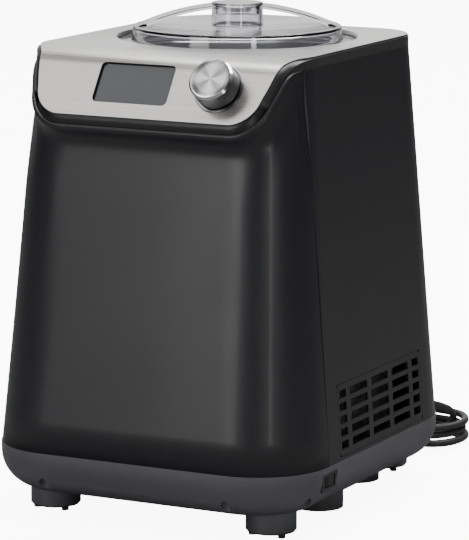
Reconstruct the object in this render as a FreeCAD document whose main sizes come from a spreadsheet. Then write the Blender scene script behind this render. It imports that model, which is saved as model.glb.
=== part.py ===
import FreeCAD, Part
import Sketcher
import math
import os
import re

# Counter-top ice cream maker with its own compressor: a tapered housing on a rounded base,
# a sloping control panel with a display and a knob, a lift-out bowl with a paddle under a clear
# lid, and inside it the gear drive, the evaporator, the compressor, the condenser and the fan.
# Millimetres, +Z up, front towards -Y. The origin is on the table under the base's centre.

os.makedirs("parts", exist_ok=True)
doc = FreeCAD.newDocument("ice_cream_maker")
Vector = FreeCAD.Vector

# ------------------------------------------------------------------ driving dimensions
SIZES = [
    # base
    ("base_width", 267.0), ("base_depth", 298.6), ("base_corner", 57.7), ("base_underside", 18.5),
    ("base_round", 28.0), ("base_wall", 3.0), ("seam_level", 52.8),
    # housing
    ("seam_step", 0.6), ("shell_wall", 2.6), ("top_width", 223.8), ("top_depth", 241.0),
    ("top_shift", 4.6), ("top_corner", 42.0), ("shell_top", 342.4), ("deck_level", 350.0),
    ("steel_gauge", 0.8), ("split_y", -87.0), ("deck_skin", 3.0), ("shell_body_corner", 57.1),
    # sloping control panel, measured on the panel's own plane
    ("bib_tilt", 34.0), ("bib_y", -131.0), ("bib_level", 305.5), ("bib_bend", 28.0),
    ("bib_plate", 5.0), ("bib_rim", 8.4), ("bib_band", 8.6), ("bib_half", 100.5),
    ("bib_corner", 24.0), ("bib_reach", 96.0), ("flare_depth", 30.0), ("flare_drop", 15.0),
    ("steel_half", 92.0), ("steel_corner", 17.0), ("steel_inset", 1.0),
    ("window_x", -13.75), ("window_up", 27.95), ("window_width", 61.5), ("window_height", 33.0),
    ("lens_gauge", 3.5), ("slip", 0.3),
    ("knob_x", 56.2), ("knob_up", 27.5), ("knob_radius", 16.85), ("knob_height", 15.4),
    ("knob_rise", 2.1), ("ring_radius", 18.9), ("ring_height", 1.2), ("push_travel", 0.6),
    ("stem_radius", 3.0), ("run_gap", 0.05),
    # bowl well
    ("well_y", 23.7), ("well_radius", 91.8), ("well_floor", 338.5), ("bucket_radius", 78.6),
    ("bucket_wall", 1.2), ("bucket_depth", 145.0), ("bowl_gap", 1.1), ("bowl_wall", 1.2),
    ("bowl_lift_off", 1.5), ("rim_level", 345.0), ("tube_radius", 9.0), ("tube_height", 41.0),
    ("bail_wire", 1.8), ("bail_level", 340.8), ("spindle_radius", 6.0), ("square_side", 8.0),
    ("foam_radius", 97.0), ("foam_floor", 182.0), ("coil_tube", 4.0), ("coil_pitch", 19.0),
    # lid
    ("lid_radius", 90.4), ("lid_gauge", 2.4), ("lid_deck", 359.0), ("lid_step", 80.0),
    ("chute_radius", 19.4), ("chute_wall", 2.2), ("arch_top", 376.4), ("arch_width", 27.0),
    ("arch_half", 77.0), ("arch_drop", 0.8), ("arch_turn", 28.0), ("cap_gauge", 2.2),
    # drive
    ("deck_height", 126.0), ("deck_gauge", 2.0), ("case_floor", 3.0), ("case_top", 166.0),
    ("fine_module", 1.0), ("coarse_module", 1.25), ("output_teeth", 64.0), ("pinion_teeth", 14.0),
    ("cluster_teeth", 60.0), ("motor_teeth", 14.0), ("motor_radius", 28.0), ("motor_length", 60.0),
    ("post_x", 60.0), ("post_front_y", -88.0), ("post_rear_y", 94.0),
    # cooling
    ("pot_y", 27.0), ("pot_radius", 52.0), ("pot_bottom", 31.0), ("pot_top", 118.0),
    ("mount_front_x", 91.0), ("mount_rear_x", 78.0), ("mount_front_y", -19.0), ("mount_rear_y", 74.0),
    ("pipe_radius", 3.0), ("condenser_x", 106.0), ("condenser_depth", 20.0),
    ("condenser_bottom", 38.0), ("pass_pitch", 11.2), ("fin_gap", 4.4), ("fin_gauge", 0.5),
    ("fan_x", 66.0), ("fan_depth", 25.0), ("fan_side", 80.0), ("fan_y", 5.0), ("fan_level", 77.0),
    # feet, vents, switch
    ("foot_radius", 19.0), ("foot_front_x", 91.0), ("foot_front_y", -99.0), ("foot_rear_x", 77.0),
    ("foot_rear_y", 129.8), ("nub_height", 3.0), ("nub_radius", 2.8), ("pad_gauge", 1.5),
    ("vent_y", 5.75), ("vent_width", 149.0), ("vent_bottom", 55.4), ("vent_height", 54.0),
    ("vent_gauge", 2.4), ("slot_width", 30.0), ("slot_height", 6.0), ("slot_rise", 9.5),
    ("slot_column", 37.0), ("end_column", 65.1), ("end_slot", 12.0),
    ("switch_y", -87.8), ("switch_level", 42.0), ("switch_width", 23.1), ("switch_height", 13.0), ("pin_radius", 1.2),
    # mains lead
    ("lead_diameter", 6.0), ("gland_x", 84.0), ("gland_level", 42.0), ("gland_length", 26.0),
    ("hank_x", 40.0), ("hank_y", 232.0), ("hank_length", 128.0), ("hank_width", 66.0), ("hank_height", 28.0),
    ("plug_level", 24.2),
]

sheet = doc.addObject("Spreadsheet::Sheet", "Sizes")
for row, (alias, number) in enumerate(SIZES, start=1):
    sheet.set("A%d" % row, alias)
    sheet.set("B%d" % row, str(number))
    sheet.setAlias("B%d" % row, alias)
doc.recompute()

WORDS = re.compile(r"\b(?!deg\b)([a-z][a-z_]*[a-z])\b(?!\()")
NODES = []


# ------------------------------------------------------------------ helpers
def full(text):
    """The sheet's own form of an expression written with bare size names."""
    return WORDS.sub(r"Sizes.\1", text)


def size(text):
    """The number that an expression of sizes comes to."""
    result = sheet.evalExpression(full(text))
    return float(getattr(result, "Value", result))


def bind(thing, **texts):
    """Tie properties of an object to expressions."""
    for prop, text in texts.items():
        thing.setExpression(prop, full(text))
    return thing


def locate(thing, x="0", y="0", z="0"):
    """Tie an object's position to expressions."""
    for axis, text in zip("xyz", (x, y, z)):
        thing.setExpression("Placement.Base." + axis, full(text))
    return thing


def part(node, thing):
    """Register an object as a sub-part of that name."""
    thing.Label = node
    NODES.append(thing)
    return thing


def cylinder(name, radius, height, x="0", y="0", z="0"):
    thing = doc.addObject("Part::Cylinder", name)
    return locate(bind(thing, Radius=radius, Height=height), x, y, z)


def block(name, width, depth, height, x="0", y="0", z="0"):
    """A box centred on x and y, with its underside at z."""
    thing = doc.addObject("Part::Box", name)
    bind(thing, Length=width, Width=depth, Height=height)
    return locate(thing, "(%s) - (%s) / 2" % (x, width), "(%s) - (%s) / 2" % (y, depth), z)


def fuse(name, shapes):
    thing = doc.addObject("Part::MultiFuse", name)
    thing.Shapes = shapes
    return thing


def group(name, shapes):
    """Separate solids that count as one sub-part."""
    thing = doc.addObject("Part::Compound", name)
    thing.Links = shapes
    return thing


def cut(name, base, tools):
    thing = doc.addObject("Part::Cut", name)
    thing.Base = base
    thing.Tool = tools[0] if len(tools) == 1 else group(name + "_tools", tools)
    return thing


def common(name, first, second):
    thing = doc.addObject("Part::Common", name)
    thing.Base = first
    thing.Tool = second
    return thing


def tip(thing, turn):
    """Tilt an object about X by an expression in degrees, so its Z leaves the sloping panel."""
    thing.Placement = FreeCAD.Placement(Vector(0, 0, 0), FreeCAD.Rotation(Vector(1, 0, 0), 10))
    thing.setExpression("Placement.Rotation.Angle", full(turn))
    return thing


def on_panel(thing, x="0", up="0", out="0"):
    """Put an object's own origin at a place on the panel: across, up the slope, out of it."""
    tip(thing, "90 - bib_tilt")
    tilt = "(bib_tilt * 1 deg)"
    y = "bib_y + (%s) * sin%s - (%s) * cos%s" % (up, tilt, out, tilt)
    z = "bib_level + (%s) * cos%s + (%s) * sin%s" % (up, tilt, out, tilt)
    return locate(thing, x, y, z)


def new_body(name):
    return doc.addObject("PartDesign::Body", name)


def sketch_on(body, name, role, lift="0"):
    """A sketch on one of the body's own origin planes."""
    sketch = body.newObject("Sketcher::SketchObject", name)
    plane = [item for item in body.Origin.OriginFeatures if item.Role == role][0]
    sketch.AttachmentSupport = [(plane, "")]
    sketch.MapMode = "FlatFace"
    sketch.setExpression("AttachmentOffset.Base.z", full(lift))
    return sketch


def pin_down(sketch, kind, where, name, text):
    """Add a dimension to a sketch and tie it to an expression."""
    index = sketch.addConstraint(Sketcher.Constraint(kind, *where, size(text)))
    sketch.renameConstraint(index, name)
    sketch.setExpression("Constraints." + name, full(text))


def draw_outline(sketch, points, prefix="p"):
    """A closed outline of straight lines through points given as pairs of expressions."""
    first = sketch.GeometryCount
    spots = [Vector(size(x), size(y), 0) for x, y in points]
    count = len(spots)
    for i in range(count):
        sketch.addGeometry(Part.LineSegment(spots[i], spots[(i + 1) % count]), False)
    for i in range(count):
        sketch.addConstraint(Sketcher.Constraint("Coincident", first + i, 2, first + (i + 1) % count, 1))
    for i, (x, y) in enumerate(points):
        if x == "0":
            sketch.addConstraint(Sketcher.Constraint("PointOnObject", first + i, 1, -2))
        else:
            pin_down(sketch, "DistanceX", (-1, 1, first + i, 1), "%sx%d" % (prefix, i), x)
        if y == "0":
            sketch.addConstraint(Sketcher.Constraint("PointOnObject", first + i, 1, -1))
        else:
            pin_down(sketch, "DistanceY", (-1, 1, first + i, 1), "%sy%d" % (prefix, i), y)


def draw_rounded(sketch, width, depth, corner, prefix="r"):
    """A rectangle about the sketch's origin with rounded corners."""
    first = sketch.GeometryCount
    w = size(width) / 2
    d = size(depth) / 2
    c = size(corner)
    ends = [((-w + c, -d), (w - c, -d)), ((w, -d + c), (w, d - c)),
            ((w - c, d), (-w + c, d)), ((-w, d - c), (-w, -d + c))]
    for start, end in ends:
        sketch.addGeometry(Part.LineSegment(Vector(*start, 0), Vector(*end, 0)), False)
    centres = [(w - c, -d + c), (w - c, d - c), (-w + c, d - c), (-w + c, -d + c)]
    for k, centre in enumerate(centres):
        circle = Part.Circle(Vector(*centre, 0), Vector(0, 0, 1), c)
        start = (k - 1) * math.pi / 2
        sketch.addGeometry(Part.ArcOfCircle(circle, start, start + math.pi / 2), False)
    for k in range(4):
        sketch.addConstraint(Sketcher.Constraint("Tangent", first + k, 2, first + 4 + k, 1))
        sketch.addConstraint(Sketcher.Constraint("Tangent", first + 4 + k, 2, first + (k + 1) % 4, 1))
    for k in (0, 2):
        sketch.addConstraint(Sketcher.Constraint("Horizontal", first + k))
        sketch.addConstraint(Sketcher.Constraint("Vertical", first + k + 1))
    for k in (5, 6, 7):
        sketch.addConstraint(Sketcher.Constraint("Equal", first + 4, first + k))
    sketch.addConstraint(Sketcher.Constraint("Symmetric", first, 1, first + 2, 1, -1, 1))
    pin_down(sketch, "DistanceX", (first + 3, 1, first + 1, 1), prefix + "width", width)
    pin_down(sketch, "DistanceY", (first, 1, first + 2, 1), prefix + "depth", depth)
    pin_down(sketch, "Radius", (first + 4,), prefix + "corner", corner)


def pad(body, sketch, name, length):
    feature = body.newObject("PartDesign::Pad", name)
    feature.Profile = sketch
    return bind(feature, Length=length)


def plate(name, width, depth, corner, height, x="0", y="0", z="0"):
    """A body padded from a rounded rectangle."""
    body = new_body(name)
    sketch = sketch_on(body, name + "_outline", "XY_Plane")
    draw_rounded(sketch, width, depth, corner)
    pad(body, sketch, name + "_pad", height)
    return locate(body, x, y, z)


def slab(name, points, height, x="0", y="0", z="0"):
    """A body padded from a straight-sided outline."""
    body = new_body(name)
    sketch = sketch_on(body, name + "_outline", "XY_Plane")
    draw_outline(sketch, points)
    pad(body, sketch, name + "_pad", height)
    return locate(body, x, y, z)


def lathe(name, points, x="0", y="0", z="0"):
    """A body turned about its own Z from an outline of (radius, height) pairs."""
    body = new_body(name)
    sketch = sketch_on(body, name + "_outline", "XZ_Plane")
    draw_outline(sketch, points)
    turned = body.newObject("PartDesign::Revolution", name + "_turned")
    turned.Profile = sketch
    turned.ReferenceAxis = (sketch, ["V_Axis"])
    turned.Angle = 360.0
    return locate(body, x, y, z)


def section(name, width, depth, corner, y="0", z="0"):
    """A rounded rectangle of its own, for a loft."""
    sketch = doc.addObject("Sketcher::SketchObject", name)
    draw_rounded(sketch, width, depth, corner)
    return locate(sketch, "0", y, z)


def loft(name, sections):
    thing = doc.addObject("Part::Loft", name)
    thing.Sections = sections
    thing.Solid = True
    thing.Ruled = True
    return thing


def feature(name, shape):
    """A shape worked out by formula."""
    thing = doc.addObject("Part::Feature", name)
    thing.Shape = shape
    return thing


def rounded_path(points, bend=None):
    """Straight runs through points joined by tangent arcs, and the arcs' radii."""
    spots = [Vector(*p) for p in points]
    edges = []
    radii = []
    start = spots[0]
    for i in range(1, len(spots) - 1):
        before = spots[i] - spots[i - 1]
        after = spots[i + 1] - spots[i]
        turn = before.getAngle(after)
        shorter = min(before.Length, after.Length)
        radius = bend if bend else 0.45 * shorter / math.tan(turn / 2)
        reach = radius * math.tan(turn / 2)
        before.normalize()
        after.normalize()
        enter = spots[i] - before * reach
        leave = spots[i] + after * reach
        inward = after - before
        inward.normalize()
        middle = spots[i] + inward * (radius / math.cos(turn / 2) - radius)
        edges.append(Part.LineSegment(start, enter).toShape())
        edges.append(Part.Arc(enter, middle, leave).toShape())
        radii.append(radius)
        start = leave
    edges.append(Part.LineSegment(start, spots[-1]).toShape())
    return Part.Wire(edges), radii


def tube(name, points, radius, bend=None):
    """A round bar along a path of runs and arcs; prints how its volume compares."""
    wire, radii = rounded_path(points, bend)
    heading = Vector(*points[1]) - Vector(*points[0])
    circle = Part.Wire(Part.makeCircle(radius, Vector(*points[0]), heading))
    shape = wire.makePipeShell([circle], True, True, 2)
    print("%s: length %.1f, smallest arc %.1f, volume ratio %.4f" % (
        name, wire.Length, min(radii), shape.Volume / (math.pi * radius ** 2 * wire.Length)))
    return feature(name, shape), radii


# ------------------------------------------------------------------ base
def base_block(name, inset, floor):
    """The base's rounded block, shrunk by an inset, from a height above the underside."""
    body = new_body(name)
    sketch = sketch_on(body, name + "_outline", "XY_Plane")
    draw_rounded(sketch, "base_width - 2 * (%s)" % inset, "base_depth - 2 * (%s)" % inset,
                 "base_corner - (%s)" % inset)
    raised = pad(body, sketch, name + "_pad", "seam_level - base_underside - (%s)" % floor)
    locate(body, "0", "0", "base_underside + (%s)" % floor)
    doc.recompute()
    low = ["Edge%d" % (i + 1) for i, edge in enumerate(raised.Shape.Edges)
           if edge.BoundBox.ZMax < 0.01]
    rounding = body.newObject("PartDesign::Fillet", name + "_round")
    rounding.Base = (raised, low)
    bind(rounding, Radius="base_round - (%s)" % inset)
    return body


SCREW_SPOTS = [(s + "76", "-(base_depth / 2 - 7.7)") for s in ("", "-")]
SCREW_SPOTS += [(s + "50", "base_depth / 2 - 7.7") for s in ("", "-")]
SCREW_SPOTS += [(s + "(base_width / 2 - 10.6)", t + "(base_depth / 2 - 41.1)") for s in ("", "-") for t in ("", "-")]

FEET = [(s + "foot_front_x", "foot_front_y") for s in ("", "-")]
FEET += [(s + "foot_rear_x", "foot_rear_y") for s in ("", "-")]
POT_MOUNTS = [(s + "mount_front_x", "mount_front_y") for s in ("", "-")]
POT_MOUNTS += [(s + "mount_rear_x", "mount_rear_y") for s in ("", "-")]
POSTS = [(s + "post_x", y) for s in ("", "-") for y in ("post_front_y", "post_rear_y")]

base_outer = base_block("base_outer", "0", "0")
base_inner = base_block("base_inner", "base_wall", "base_wall")
bosses = []
bores = []
screws = []
for index, (x, y) in enumerate(SCREW_SPOTS):
    bosses.append(cylinder("screw_boss%d" % index, "7.2", "seam_level - base_underside", x, y, "base_underside"))
    bores.append(cylinder("screw_bore%d" % index, "4.3", "24", x, y, "base_underside - 1"))
    bores.append(cylinder("screw_pilot%d" % index, "2", "60", x, y, "base_underside"))
    shank = cylinder("screw_shank%d" % index, "1.9", "11", x, y, "base_underside + 21.5")
    head = cylinder("screw_head%d" % index, "3.9", "2.4", x, y, "base_underside + 20.2")
    screws.append(fuse("screw%d" % index, [shank, head]))
base_bosses = common("base_bosses", group("screw_bosses", bosses), base_outer)
base_shell = cut("base_shell", base_outer, [base_inner])
base_solid = fuse("base_solid", [base_shell, base_bosses])
switch_hole = block("switch_hole", "30", "switch_width + 2 * slip", "switch_height + 2 * slip",
                    "base_width / 2", "switch_y", "switch_level - switch_height / 2 - slip")
gland_hole = tip(doc.addObject("Part::Cylinder", "gland_hole"), "90")
bind(gland_hole, Radius="6.5", Height="20")
locate(gland_hole, "gland_x", "base_depth / 2 + 5", "gland_level")
floor_slots = [block("floor_slot%d" % k, "70", "5", "6", "0", "-60 + %d" % (14 * k), "base_underside - 1")
               for k in range(3)]
part("base_screws", group("base_screws", screws))

cups = []
pads = []
for index, (x, y) in enumerate(FEET):
    column = cylinder("foot_column%d" % index, "foot_radius", "40", x, y, "nub_height + pad_gauge")
    cups.append(cut("foot_cup%d" % index, column, [base_outer]))
    disc = cylinder("foot_disc%d" % index, "foot_radius - 1.2", "pad_gauge", x, y, "nub_height")
    nubs = []
    for k, (dx, dy) in enumerate([("-12", "-7"), ("12", "-7"), ("0", "14")]):
        nubs.append(cylinder("nub%d_%d" % (index, k), "nub_radius", "nub_height",
                             x + " + " + dx, y + " + " + dy, "0"))
    pads.append(fuse("foot_pad%d" % index, [disc] + nubs))
cup_rest = block("cup_rest", "2 * base_width", "2 * base_depth", "60", "0", "0", "base_underside + 12")
part("foot_cups", cut("foot_cups", group("foot_columns", cups), [cup_rest]))
part("foot_pads", group("foot_pads", pads))
mount_cups = [cylinder("mount_cup%d" % i, "foot_radius", "base_underside - nub_height + 0.5", x, y,
                       "nub_height + 0.5") for i, (x, y) in enumerate(POT_MOUNTS)]
base_moulding = fuse("base_moulding", [base_solid] + mount_cups)
part("base_tray", cut("base_tray", base_moulding, bores + [switch_hole, gland_hole] + floor_slots))

# ------------------------------------------------------------------ housing
TAPER = "(base_width / 2 - seam_step - top_width / 2) / (shell_top - seam_level)"


def housing_block(name, inset):
    """The tapered block between the base's seam and the deck, shrunk by an inset."""
    low = section(name + "_low", "base_width - 2 * seam_step - 2 * (%s)" % inset,
                  "base_depth - 2 * seam_step - 2 * (%s)" % inset,
                  "shell_body_corner - (%s)" % inset, "0", "seam_level")
    high = section(name + "_high", "top_width - 2 * (%s)" % inset, "top_depth - 2 * (%s)" % inset,
                   "top_corner - (%s)" % inset, "top_shift", "shell_top")
    return loft(name, [low, high])


def above_panel(name, out):
    """Everything in front of a plane parallel to the control panel."""
    thing = doc.addObject("Part::Box", name)
    bind(thing, Length="2 * base_width", Width="2 * bib_reach", Height="base_depth")
    return on_panel(thing, "-base_width", "-bib_reach", out)


def panel_section(name, width, depth, corner, up, out):
    sketch = doc.addObject("Sketcher::SketchObject", name)
    draw_rounded(sketch, width, depth, corner)
    return on_panel(sketch, "0", up, out)


rim_low = "bib_band + bib_rim"
bib_face = panel_section("bib_face", "2 * (bib_half + bib_rim)", "bib_reach + " + rim_low,
                         "bib_corner + bib_rim / 2", "(bib_reach - (%s)) / 2" % rim_low, "-steel_gauge")
bib_root = panel_section("bib_root", "2 * (bib_half + bib_rim) - 10", "bib_reach + " + rim_low,
                         "bib_corner + bib_rim / 2", "(bib_reach - (%s)) / 2 - flare_drop" % rim_low,
                         "-steel_gauge - flare_depth")
bib_block = loft("bib_block", [bib_face, bib_root])
bib_hole = doc.addObject("Part::Extrusion", "bib_hole")
bib_hole.Base = panel_section("bib_mouth", "2 * bib_half", "bib_reach + bib_band", "bib_corner",
                              "(bib_reach - bib_band) / 2", "-steel_gauge")
bib_hole.DirMode = "Normal"
bib_hole.Symmetric = False
bib_hole.Solid = True
bib_hole.Reversed = True
bind(bib_hole, LengthFwd="flare_depth + 12")
sky = block("sky", "2 * base_width", "2 * base_depth", "100", "0", "0", "shell_top")

shell_outer = fuse("shell_outer", [housing_block("housing_outer", "0"), bib_block])
shell_body = cut("shell_body", shell_outer, [above_panel("front_air", "-steel_gauge"), sky])
shell_inner = cut("shell_inner", housing_block("housing_inner", "shell_wall"),
                  [above_panel("inner_air", "-steel_gauge - shell_wall")])
shell = cut("shell", shell_body, [fuse("shell_space", [shell_inner, bib_hole])])
front_room = block("front_room", "2 * base_width", "base_depth", "500", "0", "split_y - base_depth / 2", "0")
rear_room = block("rear_room", "2 * base_width", "2 * base_depth", "500", "0", "split_y + base_depth", "0")
part("front_shell", common("front_shell", shell, front_room))
rear_whole = common("rear_whole", shell, rear_room)

# vent grilles, each lying in the taper of its side
side_tilt = math.atan(size(TAPER))


def on_side(thing, hand, out=0.0):
    """Stand an object in the plane of a side wall: its X runs along the wall, its Z leaves it."""
    lean = Vector(-hand * math.sin(side_tilt), 0, math.cos(side_tilt))
    away = Vector(hand * math.cos(side_tilt), 0, math.sin(side_tilt))
    level = size("vent_bottom + vent_height / 2")
    reach = size("base_width / 2 - seam_step") - (level - size("seam_level")) * size(TAPER)
    spot = Vector(hand * reach, size("vent_y"), level) + away * out
    thing.Placement = FreeCAD.Placement(spot, FreeCAD.Rotation(Vector(0, hand, 0), lean, away, "XYZ"))
    return thing


def vent_grille(name, hand):
    """A ribbed plate: one row of five slots, repeated up the plate."""
    body = new_body(name)
    outline = sketch_on(body, name + "_outline", "XY_Plane", "-vent_gauge")
    draw_rounded(outline, "vent_width - 2 * slip", "vent_height - 2 * slip", "4")
    pad(body, outline, name + "_pad", "vent_gauge")
    row = sketch_on(body, name + "_row", "XY_Plane")
    columns = [("-end_column", "end_slot"), ("-slot_column", "slot_width"), ("0", "slot_width"),
               ("slot_column", "slot_width"), ("end_column", "end_slot")]
    for k, (middle, wide) in enumerate(columns):
        left = "(%s) - (%s) / 2" % (middle, wide)
        right = "(%s) + (%s) / 2" % (middle, wide)
        low = "-2 * slot_rise - slot_height / 2"
        high = "-2 * slot_rise + slot_height / 2"
        draw_outline(row, [(left, low), (right, low), (right, high), (left, high)], "abcde"[k])
    slots = body.newObject("PartDesign::Pocket", name + "_slots")
    slots.Profile = row
    slots.Length = 20.0
    doc.recompute()
    rows = body.newObject("PartDesign::LinearPattern", name + "_rows")
    rows.Originals = [slots]
    rows.Direction = (row, ["V_Axis"])
    rows.Occurrences = 5
    bind(rows, Length="4 * slot_rise")
    body.Tip = rows
    return on_side(body, hand)


vent_holes = []
for hand, side in ((1, "right"), (-1, "left")):
    hole = doc.addObject("Part::Box", "vent_hole_" + side)
    bind(hole, Length="vent_width", Width="vent_height", Height="3 * shell_wall")
    away = on_side(hole, hand).Placement
    corner = Vector(-size("vent_width") / 2, -size("vent_height") / 2, -2 * size("shell_wall"))
    hole.Placement = away.multiply(FreeCAD.Placement(corner, FreeCAD.Rotation()))
    vent_holes.append(hole)
    part("vent_grille_" + side, vent_grille("vent_grille_" + side, hand))
part("rear_shell", cut("rear_shell", rear_whole, vent_holes))

# ------------------------------------------------------------------ top frame and steel panel
deck_ring = plate("deck_ring", "top_width", "top_depth", "top_corner", "deck_level - shell_top",
                  "0", "top_shift", "shell_top")
deck_under = plate("deck_under", "top_width - 2 * deck_skin", "top_depth - 2 * deck_skin",
                   "top_corner - deck_skin", "deck_level - shell_top - deck_skin", "0", "top_shift",
                   "shell_top")
deck_shell = cut("deck_shell", deck_ring, [deck_under])
bib_panel = doc.addObject("Part::Extrusion", "bib_panel")
bib_panel.Base = panel_section("bib_plate_outline", "2 * (bib_half - slip / 3)",
                               "bib_reach + bib_band - slip / 3", "bib_corner",
                               "(bib_reach - bib_band) / 2 + slip / 6", "-steel_gauge")
bib_panel.DirMode = "Normal"
bib_panel.Solid = True
bib_panel.Reversed = True
bind(bib_panel, LengthFwd="bib_plate")
well_wall = cylinder("well_wall", "well_radius + deck_skin", "deck_level - well_floor", "0", "well_y",
                     "well_floor")
well_bore = cylinder("well_bore", "well_radius", "60", "0", "well_y", "well_floor - 20")
window_hole = on_panel(block("window_hole", "1", "1", "20"), "window_x - window_width / 2",
                       "window_up - window_height / 2", "-12")
bind(window_hole, Length="window_width", Width="window_height")
bush_hole = on_panel(cylinder("bush_hole", "4.8", "20"), "knob_x", "knob_up", "-12")
# the sheet steel is one bent strip cut to the top's outline
bend_reach = "bib_bend * tan((90 - bib_tilt) / 2 * 1 deg)"
crease_y = size("bib_y + (deck_level + steel_gauge - bib_level) * tan(bib_tilt * 1 deg)")


def bent_strip(width, gauge):
    """The panel's side view as a layer pushed out to a width.

    The layer is the sheet itself for a gauge, or the air outside it for a negative one.
    """
    tilt = math.radians(size("bib_tilt"))
    top = size("deck_level + steel_gauge")
    along = Vector(0, math.sin(tilt), math.cos(tilt))
    out = Vector(0, -math.cos(tilt), math.sin(tilt))
    foot = Vector(-width / 2, size("bib_y"), size("bib_level"))
    crease = Vector(-width / 2, crease_y, top)
    enter = crease - along * size(bend_reach)
    leave = crease + Vector(0, size(bend_reach), 0)
    centre = leave - Vector(0, 0, size("bib_bend"))
    middle_way = (out + Vector(0, 0, 1)).normalize()
    tail = Vector(-width / 2, size("base_depth"), top)
    sides = []
    skin = size("steel_gauge")
    for depth in ((0.0, gauge) if gauge > 0 else (skin, gauge)):
        arc_middle = centre + middle_way * (size("bib_bend") - depth)
        first = foot - out * depth
        second = enter - out * depth
        third = leave - Vector(0, 0, depth)
        last = tail - Vector(0, 0, depth)
        sides.append((first, second, arc_middle, third, last))
    edges = []
    for first, second, arc_middle, third, last in sides:
        edges.append(Part.LineSegment(first, second).toShape())
        edges.append(Part.Arc(second, arc_middle, third).toShape())
        edges.append(Part.LineSegment(third, last).toShape())
    edges.append(Part.LineSegment(sides[0][0], sides[1][0]).toShape())
    edges.append(Part.LineSegment(sides[0][4], sides[1][4]).toShape())
    face = Part.Face(Part.Wire(Part.__sortEdges__(edges)))
    return face.extrude(Vector(width, 0, 0))


strip = feature("steel_strip", bent_strip(size("2 * base_width"), size("steel_gauge")))
frame_air = feature("frame_air", bent_strip(size("2 * base_width"), -60.0))
frame_solid = fuse("frame_solid", [deck_shell, bib_panel, well_wall])
part("top_frame", cut("top_frame", frame_solid,
                      [frame_air, well_bore, window_hole, bush_hole]))

steel_top = plate("steel_top", "top_width - 2 * steel_inset", "top_depth - 2 * steel_inset",
                  "top_corner - steel_inset", "100", "0", "top_shift", "shell_top - 20")
steel_waist = block("steel_waist", "2 * base_width", "300", "100", "0", "%.4f + 150" % crease_y, "shell_top - 20")
steel_bib = doc.addObject("Part::Extrusion", "steel_bib")
steel_bib.Base = panel_section("steel_bib_outline", "2 * steel_half", "bib_reach", "steel_corner",
                               "bib_reach / 2", "-20")
steel_bib.DirMode = "Normal"
steel_bib.Solid = True
steel_bib.LengthFwd = 40.0
steel_back = common("steel_back", steel_top, steel_waist)
steel_outline = fuse("steel_outline", [steel_back, steel_bib])
steel_blank = common("steel_blank", strip, steel_outline)
steel_window = on_panel(block("steel_window", "1", "1", "20"), "window_x - window_width / 2",
                        "window_up - window_height / 2", "-10")
bind(steel_window, Length="window_width", Width="window_height")
steel_bore = on_panel(cylinder("steel_bore", "8", "20"), "knob_x", "knob_up", "-10")
steel_well = cylinder("steel_well", "well_radius", "60", "0", "well_y", "deck_level - 20")
part("top_panel", cut("top_panel", steel_blank, [steel_window, steel_bore, steel_well]))

# ------------------------------------------------------------------ display and knob
lens = plate("display_lens", "window_width - 2 * slip", "window_height - 2 * slip", "0.8", "lens_gauge")
part("display_lens", on_panel(lens, "window_x", "window_up", "-steel_gauge - bib_plate"))
module = plate("lcd_module", "window_width + 5", "window_height + 4", "2", "6.4")
part("lcd_module", on_panel(module, "window_x", "window_up", "-steel_gauge - bib_plate - 6.5"))
board = plate("control_board_plate", "158", "46", "3", "1.6")
chips = [block("chip%d" % k, wide, deep, tall, x, y, "-" + tall) for k, (wide, deep, tall, x, y) in enumerate(
    [("14", "14", "2.2", "-20", "2"), ("10", "6", "1.8", "12", "-8"), ("20", "6", "7", "-55", "0"),
     ("8", "8", "9", "52", "8"), ("6", "4", "1.6", "30", "10")])]
part("control_board", on_panel(fuse("control_board", [board] + chips), "0", "27",
                               "-steel_gauge - bib_plate - 8.2"))

knob_ring = lathe("knob_ring", [("8", "0"), ("ring_radius", "0"), ("ring_radius", "ring_height - 0.4"),
                                ("ring_radius - 0.5", "ring_height"), ("8", "ring_height")])
part("knob_ring", on_panel(knob_ring, "knob_x", "knob_up", "0"))
knob_profile = [
    ("stem_radius", "1"), ("5.6", "1"), ("5.6", "knob_height - 3"), ("knob_radius - 3", "knob_height - 3"),
    ("knob_radius - 3", "0"), ("knob_radius - 0.6", "0"), ("knob_radius", "0.6"),
    ("knob_radius", "knob_height - 1.6"), ("knob_radius - 1.6", "knob_height"), ("0", "knob_height"),
    ("0", "knob_height - 2.2"), ("stem_radius", "knob_height - 2.2")]
knob = lathe("knob", knob_profile)
part("knob", on_panel(knob, "knob_x", "knob_up", "knob_rise"))
stem = lathe("knob_stem", [("0", "0"), ("stem_radius", "0"), ("stem_radius", "knob_height + knob_rise + 8.4"),
                           ("0", "knob_height + knob_rise + 8.4")])
part("knob_stem", on_panel(stem, "knob_x", "knob_up", "-10.6"))
detent = lathe("encoder_rotor", [("stem_radius + run_gap", "0"), ("6", "0"), ("6", "1.6"),
                                 ("stem_radius + run_gap", "1.6")])
part("encoder_rotor", on_panel(detent, "knob_x", "knob_up", "-9.5"))
bush_bore = "stem_radius + run_gap"
encoder_core = lathe("encoder_core", [
    ("0", "0"), ("8.5", "0"), ("8.5", "6.6"), ("4.5", "6.6"), ("4.5", "13.4"), (bush_bore, "13.4"),
    (bush_bore, "5.4"), ("6.4", "5.4"), ("6.4", "1"), ("0", "1")])
part("encoder", on_panel(encoder_core, "knob_x", "knob_up", "-steel_gauge - bib_plate - 6.6"))

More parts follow.
